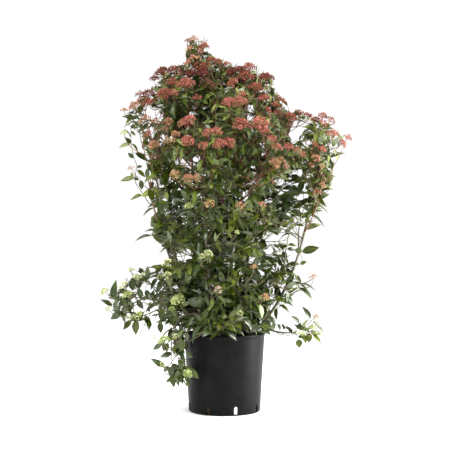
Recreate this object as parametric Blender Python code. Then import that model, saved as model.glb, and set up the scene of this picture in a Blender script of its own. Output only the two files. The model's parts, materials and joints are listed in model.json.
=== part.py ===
"""Potted laurustinus: a many-stemmed evergreen shrub in bud, standing in its round nursery pot.

Units are metres and +Z is up. The origin is the centre of the pot's flat underside, -Y is the front
and +X the right. Every stem stands on the soil with a flat cut, and every mass of foliage grows from
the tip or the side of a stem, a hair clear of it.
"""

import math
import random

import bmesh
import bpy
from mathutils import Quaternion, Vector
from mathutils.bvhtree import BVHTree

SEAT_GAP = 0.0003  # between two solids that rest on each other
UP = Vector((0.0, 0.0, 1.0))

# The pot, an 18 litre nursery container
POT_HEIGHT = 0.288
POT_RIM_RADIUS = 0.1500
POT_FOOT_RADIUS = 0.1315
POT_WALL = 0.0025
POT_FLOOR = 0.0030
POT_FOOT_ROUNDING = 0.007
RIM_BAND_HEIGHT = 0.012
RIM_BAND_PROUD = 0.0012
POT_SIDES = 24
SLOT_COUNT = 8
SLOT_FIRST_BEARING = 288.0
SLOT_WIDTH = 0.013
SLOT_LOW = 0.004
SLOT_HIGH = 0.034
SLOT_END_STEPS = 4
CUTTER_DEPTH = 0.02

# The soil that fills it
SOIL_LEVEL = 0.262
SOIL_CHAMFER = 0.004
SOIL_GAP = 0.00045  # to the pot's wall

# Stems: the curve of each runs from its foot on the soil to the apex of the foliage that it ends in
STEM_SIDES = 6
STEM_RINGS = 7
STEM_SHARE = 0.74  # how much of the curve is bare stem, with the foliage beyond
STEM_FOOT_RADIUS = 0.0068
STEM_TIP_RADIUS = 0.0030
BOUGH_FOOT_RADIUS = 0.0048
FLARE_SHARE = 0.04  # of the curve, above the foot
FLARE = 1.35
RAY_START = 0.025
FOOT_SPREAD = 0.20  # a foot's distance from the middle, as a share of its apex's

# Foliage
SHOOT_SIDES = 3
SHOOT_RINGS = 4
SHOOT_RADIUS = 0.0030
SHOOT_TIP_RADIUS = 0.0020
SIDE_SHOOT_RADIUS = 0.0021
SHOOT_TAPER = 0.8
SIDE_SHOOT_ANGLE = math.radians(52)
SIDE_SHOOT_STATIONS = (0.30, 0.62)  # shares of the mass's leading shoot
SIDE_SHOOT_REACH = (0.80, 0.62)  # shares of the mass's half width
SIDE_SHOOT_LENGTHS = (0.75, 1.05)
SIDE_SHOOT_WOBBLE = 0.22
LEAF_PAIR_STATIONS = (0.14, 0.46, 0.84)  # shares of the leading shoot
SIDE_LEAF_PAIR = (0.52, 0.66)  # share of a side shoot where its leaf pair stands, least and most
LEAF_FORWARD = 0.58  # how far a pair of leaves leans along its shoot
ROOT_SINK = 0.0035  # of an end leaf into its shoot
LEAF_END_SINK = 0.007  # of the leaf that ends a leading shoot
CYME_SINK = 0.005
SPACE_MIDDLE = 0.56  # share of the way from a mass's foot to its apex
SPACE_OVER = 0.35  # of the half width, past the foot and the apex
LEAF_LENGTH = 0.102
LEAF_WIDTH = 0.056
LEAF_THICKNESS = 0.0018
LEAF_WIDEST = 0.42  # share of the length
LEAF_WOBBLE = 0.28
LEAF_DROOP = 0.25
LEAF_ROLL = 0.9
CYME_RADIUS = 0.034
CYME_HEIGHT = 0.032
CYME_WIDEST = 0.68  # share of the height
CYME_SIDES = 6
CLEARANCE = 0.0009  # kept round a leaf or a shoot
ROOT_LENGTH = 0.013  # of a leaf or shoot, where it may touch the rest of its mass
LAST_STEP = 0.002  # in finding the share where a leading shoot ends
TRIES = 14
LEAST_KEPT = 0.94  # of the faces of a union, for it to be sound
SEED = 23

# Upright stems: apex, then how much of the way out and of the way up the bend of the curve lies
STEMS = {
    "spire": ((-0.098, 0.000, 1.381), 0.55, 0.45),
    "top_left": ((-0.205, -0.040, 1.268), 0.66, 0.40),
    "top_middle": ((-0.012, 0.060, 1.305), 0.55, 0.45),
    "top_right": ((0.090, -0.010, 1.272), 0.60, 0.42),
    "high_right": ((0.162, 0.060, 1.240), 0.66, 0.38),
    "high_rear_left": ((-0.150, 0.190, 1.235), 0.64, 0.40),
    "high_rear_right": ((0.090, 0.220, 1.225), 0.64, 0.40),
    "high_front": ((0.045, -0.240, 1.140), 0.70, 0.36),
    "high_left": ((-0.300, 0.030, 1.150), 0.70, 0.36),
    "right_lobe": ((0.360, 0.000, 1.100), 0.84, 0.19),
    "left": ((-0.325, -0.070, 1.010), 0.60, 0.38),
    "front": ((-0.085, -0.330, 1.010), 0.76, 0.30),
}

# Low boughs: the stem that carries each and where on its curve, the bend of the bough, the apex of
# its foliage and how much of the curve is bare bough
BOUGHS = {
    "left_arm": ("left", 0.14, (-0.240, -0.060, 0.440), (-0.442, -0.060, 0.420), 0.50),
    "left_hanging": ("front", 0.16, (-0.230, -0.150, 0.450), (-0.180, -0.115, 0.122), 0.52),
    "right_arm": ("right_lobe", 0.13, (0.240, -0.050, 0.262), (0.352, -0.030, 0.322), 0.45),
}

# Sprays, the masses on the side of a stem or bough: the carrier and where on its curve, the apex,
# how far the leading shoot bows away from its carrier, as a share of its length, and the half width
# of the space it keeps to
SPRAYS = {
    "high_front_left": ("spire", 0.68, (-0.220, -0.150, 1.150), 0.12, 0.13),
    "shoulder_right": ("high_right", 0.70, (0.230, -0.030, 1.110), 0.40, 0.11),
    "right_tip": ("right_lobe", 0.70, (0.445, 0.020, 1.000), 0.12, 0.10),
    "shoulder_front_right": ("high_front", 0.68, (0.230, -0.190, 0.960), 0.12, 0.13),
    "left_flank": ("left", 0.56, (-0.272, -0.110, 0.800), 0.30, 0.11),
    "shoulder_front_left": ("top_left", 0.60, (-0.245, -0.190, 0.940), 0.12, 0.13),
    "front_right": ("high_front", 0.62, (0.130, -0.280, 1.030), 0.40, 0.13),
    "right_flank": ("right_lobe", 0.62, (0.365, -0.070, 0.880), 0.40, 0.11),
    "right_waist": ("right_lobe", 0.54, (0.318, 0.060, 0.790), 0.40, 0.11),
    "rear_right": ("high_rear_right", 0.68, (0.260, 0.230, 1.040), 0.12, 0.14),
    "rear_left": ("high_rear_left", 0.70, (-0.230, 0.260, 1.060), 0.12, 0.14),
    "rear": ("high_rear_right", 0.60, (-0.020, 0.330, 0.980), 0.12, 0.14),
    "waist_left": ("high_left", 0.40, (-0.222, -0.030, 0.660), 0.25, 0.12),
    "waist_front_left": ("front", 0.46, (-0.170, -0.250, 0.640), 0.12, 0.13),
    "waist_front": ("high_front", 0.54, (-0.020, -0.310, 0.810), 0.12, 0.13),
    "waist_front_right": ("high_front", 0.44, (0.170, -0.250, 0.710), 0.12, 0.13),
    "waist_rear_right": ("high_rear_right", 0.36, (0.230, 0.230, 0.700), 0.12, 0.14),
    "waist_rear": ("high_rear_left", 0.36, (-0.020, 0.300, 0.700), 0.12, 0.14),
    "waist_rear_left": ("high_rear_left", 0.42, (-0.220, 0.220, 0.680), 0.12, 0.14),
    "left_arm_top": ("left_arm", 0.40, (-0.325, -0.020, 0.520), 0.12, 0.10),
    "left_arm_low": ("left_arm", 0.34, (-0.342, -0.110, 0.348), 0.12, 0.11),
    "front_rim": ("high_front", 0.08, (-0.040, -0.230, 0.335), 0.12, 0.12),
    "right_spray": ("right_lobe", 0.32, (0.318, 0.000, 0.490), 0.25, 0.09),
    "low_left": ("top_left", 0.12, (-0.185, -0.150, 0.450), 0.12, 0.13),
    "low_right": ("high_right", 0.20, (0.205, -0.090, 0.480), 0.12, 0.13),
    "low_rear": ("high_rear_right", 0.12, (0.060, 0.260, 0.410), 0.12, 0.14),
    "low_rear_left": ("high_rear_left", 0.10, (-0.200, 0.210, 0.390), 0.12, 0.14),
    "low_front_right": ("high_front", 0.22, (0.070, -0.260, 0.480), 0.12, 0.13),
}

TIP_SPREAD = 0.12  # half width of the space of the foliage that ends a stem
LEAFY = {"left_flank", "right_waist", "waist_left", "waist_front_left", "waist_front",
         "low_left", "low_right", "waist_rear", "left_arm_low"}

PLASTIC = ((0.035, 0.036, 0.038), 0.55)
PEAT = ((0.075, 0.048, 0.032), 0.95)
BARK = ((0.205, 0.145, 0.100), 0.80)
FOLIAGE_IN_BUD = ((0.235, 0.130, 0.070), 0.60)
FOLIAGE = ((0.075, 0.130, 0.035), 0.50)


class Curve:
    """A quadratic curve from a foot to an apex, heading for the bend between them."""

    def __init__(self, foot, bend, apex):
        self.foot, self.bend, self.apex = Vector(foot), Vector(bend), Vector(apex)

    def point(self, share):
        back = 1.0 - share
        return back * back * self.foot + 2 * back * share * self.bend + share * share * self.apex

    def heading(self, share):
        return ((1 - share) * (self.bend - self.foot) + share * (self.apex - self.bend)).normalized()


def clear_scene():
    for obj in list(bpy.data.objects):
        bpy.data.objects.remove(obj, do_unlink=True)


def material(name, look):
    colour, roughness = look
    made = bpy.data.materials.new(name)
    made.use_nodes = True
    shader = made.node_tree.nodes["Principled BSDF"]
    shader.inputs["Base Color"].default_value = (*colour, 1.0)
    shader.inputs["Roughness"].default_value = roughness
    return made


def add_object(name, points, faces, finish=None, collection=None):
    mesh = bpy.data.meshes.new(name)
    mesh.from_pydata([tuple(p) for p in points], [], faces)
    mesh.update()
    if finish is not None:
        mesh.materials.append(finish)
    obj = bpy.data.objects.new(name, mesh)
    (collection or bpy.context.scene.collection).objects.link(obj)
    return obj


def turned(name, profile, sides, finish):
    """A closed solid turned about Z from a profile that starts and ends on the axis."""
    points, faces = [], []
    rings = []
    for radius, height in profile:
        if radius == 0.0:
            rings.append([len(points)] * sides)
            points.append(Vector((0, 0, height)))
            continue
        rings.append(list(range(len(points), len(points) + sides)))
        for side in range(sides):
            angle = 2 * math.pi * side / sides
            points.append(Vector((radius * math.cos(angle), radius * math.sin(angle), height)))
    for lower, upper in zip(rings, rings[1:]):
        for side in range(sides):
            after = (side + 1) % sides
            corners = [lower[side], lower[after], upper[after], upper[side]]
            face = [c for i, c in enumerate(corners) if c != corners[i - 1]]
            faces.append(tuple(face))
    obj = add_object(name, points, faces, finish)
    smooth(obj)
    return obj


def smooth(obj, angle=math.radians(35)):
    obj.data.shade_smooth()
    obj.data.set_sharp_from_angle(angle=angle)


# --- Pot and soil ---


def pot_radius(height):
    """Outer radius of the plain wall at a height."""
    return POT_FOOT_RADIUS + (POT_RIM_RADIUS - RIM_BAND_PROUD - POT_FOOT_RADIUS) * height / POT_HEIGHT


def slot_cutter(index, collection):
    """A drainage slot with round ends, as a bar that runs through the wall."""
    half, outline = SLOT_WIDTH / 2, []
    for centre, first in ((SLOT_HIGH - half, 0.0), (SLOT_LOW + half, math.pi)):
        for step in range(SLOT_END_STEPS + 1):
            angle = first + math.pi * step / SLOT_END_STEPS
            outline.append((half * math.cos(angle), centre + half * math.sin(angle)))
    inner, outer = POT_FOOT_RADIUS - CUTTER_DEPTH, POT_RIM_RADIUS
    points = [Vector((out, across, up)) for out in (inner, outer) for across, up in outline]
    count = len(outline)
    faces = [tuple(reversed(range(count))), tuple(range(count, 2 * count))]
    faces += [(i, (i + 1) % count, count + (i + 1) % count, count + i) for i in range(count)]
    cutter = add_object(f"slot_cutter_{index + 1}", points, faces, collection=collection)
    cutter.rotation_euler.z = math.radians(SLOT_FIRST_BEARING + 360.0 * index / SLOT_COUNT)
    cutter.hide_render = True
    cutter.display_type = "WIRE"


def make_pot(finish):
    foot = pot_radius(POT_FOOT_ROUNDING)
    step = POT_FOOT_ROUNDING * (1 - math.sqrt(0.5))
    band = POT_HEIGHT - RIM_BAND_HEIGHT
    inner_floor = pot_radius(POT_FLOOR) - POT_WALL
    profile = [
        (0.0, 0.0),
        (foot - POT_FOOT_ROUNDING, 0.0),
        (foot - step, step),
        (foot, POT_FOOT_ROUNDING),
        (pot_radius(band), band),
        (pot_radius(band) + RIM_BAND_PROUD, band + RIM_BAND_PROUD),
        (POT_RIM_RADIUS, POT_HEIGHT - RIM_BAND_PROUD),
        (POT_RIM_RADIUS - RIM_BAND_PROUD, POT_HEIGHT),
        (pot_radius(POT_HEIGHT) - POT_WALL, POT_HEIGHT),
        (inner_floor, POT_FLOOR + POT_WALL),
        (inner_floor - POT_WALL, POT_FLOOR),
        (0.0, POT_FLOOR),
    ]
    pot = turned("pot", profile, POT_SIDES, finish)
    cutters = bpy.data.collections.new("slot_cutters")
    bpy.context.scene.collection.children.link(cutters)
    for index in range(SLOT_COUNT):
        slot_cutter(index, cutters)
    cut = pot.modifiers.new("slots", "BOOLEAN")
    cut.operation, cut.solver, cut.operand_type = "DIFFERENCE", "EXACT", "COLLECTION"
    cut.collection = cutters
    return pot


def make_soil(finish):
    bottom, wall = POT_FLOOR + SEAT_GAP, POT_WALL + SOIL_GAP
    profile = [
        (0.0, bottom),
        (pot_radius(bottom) - wall - SOIL_CHAMFER, bottom),
        (pot_radius(bottom + SOIL_CHAMFER) - wall, bottom + SOIL_CHAMFER),
        (pot_radius(SOIL_LEVEL) - wall, SOIL_LEVEL),
        (0.0, SOIL_LEVEL),
    ]
    return turned("soil", profile, POT_SIDES, finish)


# --- Stems and boughs ---


def ring_frame(heading, last_side):
    """The two directions across a limb, carried on from ring to ring so that it doesn't twist."""
    side = last_side - heading * last_side.dot(heading)
    side.normalize()
    return side, heading.cross(side)


def tube(centres, headings, radii, sides, first_plane=None):
    """Points and faces of a closed tapering tube. first_plane, a point and a normal, mitres its foot."""
    points, faces = [], []
    side = headings[0].orthogonal()
    for index, (centre, heading, radius) in enumerate(zip(centres, headings, radii)):
        side, other = ring_frame(heading, side)
        for corner in range(sides):
            angle = 2 * math.pi * corner / sides
            point = centre + radius * (math.cos(angle) * side + math.sin(angle) * other)
            if index == 0 and first_plane is not None:
                origin, normal = first_plane
                point += heading * ((origin - point).dot(normal) / heading.dot(normal))
            points.append(point)
    for ring in range(len(centres) - 1):
        for corner in range(sides):
            after = (corner + 1) % sides
            low, high = ring * sides, (ring + 1) * sides
            faces.append((low + corner, low + after, high + after, high + corner))
    faces.append(tuple(reversed(range(sides))))
    faces.append(tuple(range(len(points) - sides, len(points))))
    return points, faces


class Path:
    """The straight runs between points set along part of a curve, which a tube follows."""

    def __init__(self, curve, shares):
        self.shares = shares
        self.centres = [curve.point(share) for share in shares]
        self.headings = [curve.heading(share) for share in shares]

    def at(self, share):
        """Centre and heading at a share of the curve."""
        run = 0
        while run < len(self.shares) - 2 and share > self.shares[run + 1]:
            run += 1
        low, high = self.centres[run], self.centres[run + 1]
        step = (share - self.shares[run]) / (self.shares[run + 1] - self.shares[run])
        return low.lerp(high, step), (high - low).normalized()


class Limb:
    """A stem or bough: its curve, where along it the bare wood ends, and its solid."""

    def __init__(self, curve, bare_share, foot_radius, foot_plane, flared):
        self.curve, self.bare_share = curve, bare_share
        shares = [bare_share * i / (STEM_RINGS - 1) for i in range(STEM_RINGS)]
        if flared:
            shares.insert(1, FLARE_SHARE)
        radii = [foot_radius + (STEM_TIP_RADIUS - foot_radius) * share / bare_share
                 for share in shares]
        if flared:
            radii[0] *= FLARE
        self.path = Path(curve, shares)
        self.solid = tube(self.path.centres, self.path.headings, radii, STEM_SIDES, foot_plane)
        self.tree = solid_tree(*self.solid)

    def side_foot(self, share, target):
        """Where a shoot or bough stands on the limb's side: a point a hair off the skin, towards the
        target, and the skin's outward direction there."""
        centre, heading = self.path.at(share)
        out = target - centre
        out = (out - heading * out.dot(heading)).normalized()
        skin, normal, _, _ = self.tree.ray_cast(centre + out * RAY_START, -out)
        return skin + normal * SEAT_GAP, normal


def make_limbs(bark):
    limbs = {}
    for name, (apex, sweep, rise) in STEMS.items():
        apex = Vector(apex)
        foot = Vector((apex.x * FOOT_SPREAD, apex.y * FOOT_SPREAD, SOIL_LEVEL + SEAT_GAP))
        way = apex - foot
        bend = foot + Vector((way.x * sweep, way.y * sweep, way.z * rise))
        limbs[name] = Limb(Curve(foot, bend, apex), STEM_SHARE, STEM_FOOT_RADIUS, (foot, UP), True)
    for name, (carrier, share, bend, apex, bare_share) in BOUGHS.items():
        foot, out = limbs[carrier].side_foot(share, Vector(bend))
        curve = Curve(foot, bend, apex)
        limbs[name] = Limb(curve, bare_share, BOUGH_FOOT_RADIUS, (foot, out), False)
    for name, limb in limbs.items():
        kind = "stem" if name in STEMS else "bough"
        smooth(add_object(f"{kind}_{name}", *limb.solid, bark))
    return limbs


# --- Foliage ---


def solid_tree(points, faces):
    return BVHTree.FromPolygons(points, faces)


def leaf(root, heading, up, grown=0.0, bare=0.0):
    """A leaf blade of six faces, thick at the root and thin at the tip. grown adds clearance all
    round, and bare leaves out that much at the root."""
    side = heading.cross(up).normalized()
    normal = side.cross(heading)
    thick = normal * (LEAF_THICKNESS / 2 + grown)
    middle = root + heading * LEAF_LENGTH * LEAF_WIDEST
    wide = side * (LEAF_WIDTH / 2 + grown)
    tip = root + heading * (LEAF_LENGTH + grown)
    root = root + heading * bare
    points = [root + thick, root - thick, middle + wide, middle - wide, tip]
    faces = [(0, 4, 2), (0, 3, 4), (1, 2, 4), (1, 4, 3), (0, 2, 1), (0, 1, 3)]
    return points, faces


def cyme(root, heading, grown=0.0):
    """A flat-topped flower head: the rays as a cone that opens upwards, and a low dome of buds."""
    side, other = ring_frame(heading, heading.orthogonal())
    points = [root, root + heading * (CYME_HEIGHT + grown)]
    for corner in range(CYME_SIDES):
        angle = 2 * math.pi * corner / CYME_SIDES
        out = math.cos(angle) * side + math.sin(angle) * other
        points.append(root + heading * CYME_HEIGHT * CYME_WIDEST + out * (CYME_RADIUS + grown))
    faces = []
    for corner in range(CYME_SIDES):
        here, after = 2 + corner, 2 + (corner + 1) % CYME_SIDES
        faces.append((0, after, here))
        faces.append((1, here, after))
    return points, faces


def straight_shoot(root, end, radius, grown=0.0, bare=0.0):
    heading = (end - root).normalized()
    root = root + heading * bare
    radii = (radius + grown, SHOOT_TAPER * radius + grown)
    return tube((root, end), (heading, heading), radii, SHOOT_SIDES)


class Space:
    """The long round space that a mass keeps to."""

    def __init__(self, foot, apex, spread):
        self.centre, self.axis = foot.lerp(apex, SPACE_MIDDLE), (apex - foot).normalized()
        self.half_length = 0.5 * (apex - foot).length + SPACE_OVER * spread
        self.half_width = spread

    def holds(self, points):
        for point in points:
            off = point - self.centre
            along = off.dot(self.axis)
            across = (off - along * self.axis).length
            if (along / self.half_length) ** 2 + (across / self.half_width) ** 2 > 1.0:
                return False
        return True


class Mass:
    """One mass of foliage while it grows: its pieces so far, and the solids that they keep off."""

    def __init__(self, name, curve, start, spread, foot_plane):
        self.name, self.spread = name, spread
        self.in_bud = name not in LEAFY
        self.space = Space(curve.point(start), curve.apex, spread)
        end_length = CYME_HEIGHT - CYME_SINK if self.in_bud else LEAF_LENGTH - LEAF_END_SINK
        last = 1.0
        while (curve.apex - curve.point(last)).length < end_length:
            last -= LAST_STEP
        self.pieces, self.others = [], []
        steps = [i / (SHOOT_RINGS - 1) for i in range(SHOOT_RINGS)]
        self.path = Path(curve, [start + (last - start) * step for step in steps])
        radii = [SHOOT_RADIUS + (SHOOT_TIP_RADIUS - SHOOT_RADIUS) * step for step in steps]
        self.add(tube(self.path.centres, self.path.headings, radii, SHOOT_SIDES, foot_plane))
        heading = (curve.apex - self.path.centres[-1]).normalized()
        if self.in_bud:
            self.add(cyme(curve.apex - heading * CYME_HEIGHT, heading))
        else:
            up = UP + heading.orthogonal()
            self.add(leaf(curve.apex - heading * LEAF_LENGTH, heading, up))

    def at(self, step):
        """Centre and heading at a share of the leading shoot."""
        first, last = self.path.shares[0], self.path.shares[-1]
        return self.path.at(first + (last - first) * step)

    def add(self, piece):
        self.pieces.append((piece, solid_tree(*piece)))

    def fits(self, shape, *sizes):
        """True if the shape, grown by the clearance, stays in the space and touches no other solid,
        and its outer part touches none of the mass's own pieces."""
        whole = shape(*sizes, CLEARANCE)
        if not self.space.holds(whole[0]):
            return False
        tree = solid_tree(*whole)
        if any(tree.overlap(other) for other in self.others):
            return False
        outer = solid_tree(*shape(*sizes, CLEARANCE, ROOT_LENGTH))
        return not any(outer.overlap(mine) for _, mine in self.pieces)


def turned_about(vector, axis, angle):
    return Quaternion(axis, angle) @ vector


def wobble(size, rng):
    return Vector([rng.uniform(-size, size) for _ in range(3)])


def try_leaf(mass, root, heading, rng):
    """Adds a leaf, turned a little until it is clear, or skips it."""
    for _ in range(TRIES):
        way = (heading + wobble(LEAF_WOBBLE, rng) - LEAF_DROOP * UP).normalized()
        up = UP + wobble(LEAF_ROLL, rng)
        if mass.fits(leaf, root, way, up):
            mass.add(leaf(root, way, up))
            return True
    return False


def grow_side_shoot(mass, root, heading, reach, rng):
    """A side shoot with a pair of leaves half way along and one at its end."""
    for _ in range(TRIES):
        way = (heading + wobble(SIDE_SHOOT_WOBBLE, rng)).normalized()
        length = reach * rng.uniform(*SIDE_SHOOT_LENGTHS)
        end = root + way * length
        if mass.fits(straight_shoot, root, end, SIDE_SHOOT_RADIUS):
            break
    else:
        return
    mass.add(straight_shoot(root, end, SIDE_SHOOT_RADIUS))
    across = way.cross(UP).normalized()
    middle = root + way * length * rng.uniform(*SIDE_LEAF_PAIR)
    try_leaf(mass, end - way * ROOT_SINK, way, rng)
    for hand in (1, -1):
        try_leaf(mass, middle, (LEAF_FORWARD * way + hand * across).normalized(), rng)


def grow(mass, rng):
    """Side shoots in crossed pairs along the leading shoot, and pairs of leaves."""
    roll = rng.uniform(0, math.pi)
    for step, reach in zip(SIDE_SHOOT_STATIONS, SIDE_SHOOT_REACH):
        root, heading = mass.at(step)
        for hand in (0.0, math.pi):
            out = turned_about(heading.orthogonal(), heading, roll + hand)
            way = heading * math.cos(SIDE_SHOOT_ANGLE) + out * math.sin(SIDE_SHOOT_ANGLE)
            grow_side_shoot(mass, root, way, reach * mass.spread, rng)
        roll += math.pi / 2
    for step in LEAF_PAIR_STATIONS:
        root, heading = mass.at(step)
        for hand in (0.0, math.pi):
            out = turned_about(heading.orthogonal(), heading, roll + hand)
            try_leaf(mass, root, (LEAF_FORWARD * heading + out).normalized(), rng)
        roll += math.pi / 2


def union_of(mass, solver, finish):
    """All the pieces of a mass in one mesh, joined by one Boolean on a collection."""
    pieces = bpy.data.collections.new("pieces")
    bpy.context.scene.collection.children.link(pieces)
    for index, (shape, _) in enumerate(mass.pieces[1:]):
        add_object(f"piece_{index}", *shape, collection=pieces)
    obj = add_object(f"foliage_{mass.name}", *mass.pieces[0][0], finish)
    union = obj.modifiers.new("union", "BOOLEAN")
    union.operation, union.solver, union.operand_type = "UNION", solver, "COLLECTION"
    union.collection = pieces
    graph = bpy.context.evaluated_depsgraph_get()
    mesh = bpy.data.meshes.new_from_object(obj.evaluated_get(graph))
    obj.modifiers.remove(union)
    obj.data = mesh
    for piece in list(pieces.objects):
        bpy.data.objects.remove(piece, do_unlink=True)
    bpy.data.collections.remove(pieces)
    return obj


def islands_of(built):
    """The groups of faces that share edges, the one of most faces first."""
    unseen, islands = set(built.faces), []
    while unseen:
        island, front = [], [next(iter(unseen))]
        while front:
            face = front.pop()
            if face in unseen:
                unseen.remove(face)
                island.append(face)
                front.extend(other for edge in face.edges for other in edge.link_faces)
        islands.append(island)
    return sorted(islands, key=len, reverse=True)


def cleaned(obj):
    """Drops the walls of sealed hollows and loose scraps, and says whether the rest is sound."""
    built = bmesh.new()
    built.from_mesh(obj.data)
    before = len(built.faces)
    scraps = [face for island in islands_of(built)[1:] for face in island]
    bmesh.ops.delete(built, geom=scraps, context="FACES")
    sound = all(edge.is_manifold for edge in built.edges)
    sound = sound and len(built.faces) > LEAST_KEPT * before
    bmesh.ops.triangulate(built, faces=built.faces)
    built.to_mesh(obj.data)
    built.free()
    return sound


def fused(mass, finish):
    """The mass as one closed body. Where neither solver makes one, the last leaf is left off."""
    while True:
        for solver in ("EXACT", "MANIFOLD"):
            obj = union_of(mass, solver, finish)
            if cleaned(obj):
                return obj
            bpy.data.objects.remove(obj, do_unlink=True)
        mass.pieces.pop()


def make_masses(limbs):
    masses = []
    for name, limb in limbs.items():
        tip, heading = limb.curve.point(limb.bare_share), limb.curve.heading(limb.bare_share)
        plane = (tip + heading * SEAT_GAP, heading)
        masses.append(Mass(name, limb.curve, limb.bare_share, TIP_SPREAD, plane))
    for name, (carrier, share, apex, bow, spread) in SPRAYS.items():
        apex = Vector(apex)
        foot, out = limbs[carrier].side_foot(share, apex)
        bend = foot.lerp(apex, 0.5) + out * bow * (apex - foot).length
        masses.append(Mass(name, Curve(foot, bend, apex), 0.0, spread, (foot, out)))
    return masses


def main():
    clear_scene()
    pot = make_pot(material("black_plastic", PLASTIC))
    soil = make_soil(material("peat", PEAT))
    limbs = make_limbs(material("bark", BARK))
    graph = bpy.context.evaluated_depsgraph_get()
    trees = [limb.tree for limb in limbs.values()]
    trees += [BVHTree.FromObject(obj, graph) for obj in (pot, soil)]
    green, in_bud = material("foliage", FOLIAGE), material("foliage_in_bud", FOLIAGE_IN_BUD)
    rng = random.Random(SEED)
    masses = make_masses(limbs)
    for number, mass in enumerate(masses):
        mass.others = trees + [tree for other in masses[number + 1:] for _, tree in other.pieces]
        grow(mass, rng)
        obj = fused(mass, in_bud if mass.in_bud else green)
        trees.append(solid_tree([v.co for v in obj.data.vertices],
                                [tuple(p.vertices) for p in obj.data.polygons]))


main()
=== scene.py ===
import json
import math
import random

import bmesh
import bpy
from mathutils import Matrix, Quaternion, Vector, noise
from mathutils.bvhtree import BVHTree
from mathutils.kdtree import KDTree

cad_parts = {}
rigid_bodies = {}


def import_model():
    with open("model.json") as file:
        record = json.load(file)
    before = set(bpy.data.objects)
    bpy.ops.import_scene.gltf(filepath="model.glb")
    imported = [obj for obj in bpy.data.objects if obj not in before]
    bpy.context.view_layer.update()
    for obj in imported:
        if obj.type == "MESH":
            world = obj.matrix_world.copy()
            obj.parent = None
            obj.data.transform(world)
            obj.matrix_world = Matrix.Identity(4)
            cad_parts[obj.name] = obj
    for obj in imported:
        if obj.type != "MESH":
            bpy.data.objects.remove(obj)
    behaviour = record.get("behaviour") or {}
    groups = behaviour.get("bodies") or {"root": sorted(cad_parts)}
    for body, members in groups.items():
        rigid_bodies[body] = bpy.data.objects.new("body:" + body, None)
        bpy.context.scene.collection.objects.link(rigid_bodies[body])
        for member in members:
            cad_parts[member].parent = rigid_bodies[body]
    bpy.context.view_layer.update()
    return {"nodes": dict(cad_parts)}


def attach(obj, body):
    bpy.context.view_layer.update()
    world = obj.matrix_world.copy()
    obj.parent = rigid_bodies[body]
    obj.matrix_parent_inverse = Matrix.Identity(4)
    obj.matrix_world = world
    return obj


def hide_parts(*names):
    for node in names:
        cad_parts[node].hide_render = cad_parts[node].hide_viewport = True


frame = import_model()
up = Vector((0, 0, 1))

# The shrub follows the plan that the solids have, carried on to finer shoots.
# upright stems: apex, how soon the curve leans out, how soon it rises
stems = {
    "spire": ((-0.098, 0.000, 1.381), 0.55, 0.45),
    "top_left": ((-0.205, -0.040, 1.268), 0.66, 0.40),
    "top_middle": ((-0.012, 0.060, 1.305), 0.55, 0.45),
    "top_right": ((0.090, -0.010, 1.272), 0.60, 0.42),
    "high_right": ((0.162, 0.060, 1.240), 0.66, 0.38),
    "high_rear_left": ((-0.150, 0.190, 1.235), 0.64, 0.40),
    "high_rear_right": ((0.090, 0.220, 1.225), 0.64, 0.40),
    "high_front": ((0.045, -0.240, 1.140), 0.70, 0.36),
    "high_left": ((-0.300, 0.030, 1.150), 0.70, 0.36),
    "right_lobe": ((0.360, 0.000, 1.100), 0.84, 0.19),
    "left": ((-0.325, -0.070, 1.010), 0.60, 0.38),
    "front": ((-0.085, -0.330, 1.010), 0.76, 0.30),
}
# low boughs: stem, where on it, bend, apex, bare share
boughs = {
    "left_arm": ("left", 0.14, (-0.240, -0.060, 0.440), (-0.442, -0.060, 0.420), 0.50),
    "left_hanging": ("front", 0.16, (-0.230, -0.150, 0.450), (-0.180, -0.115, 0.122), 0.52),
    "right_arm": ("right_lobe", 0.13, (0.240, -0.050, 0.262), (0.352, -0.030, 0.322), 0.45),
}
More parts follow.
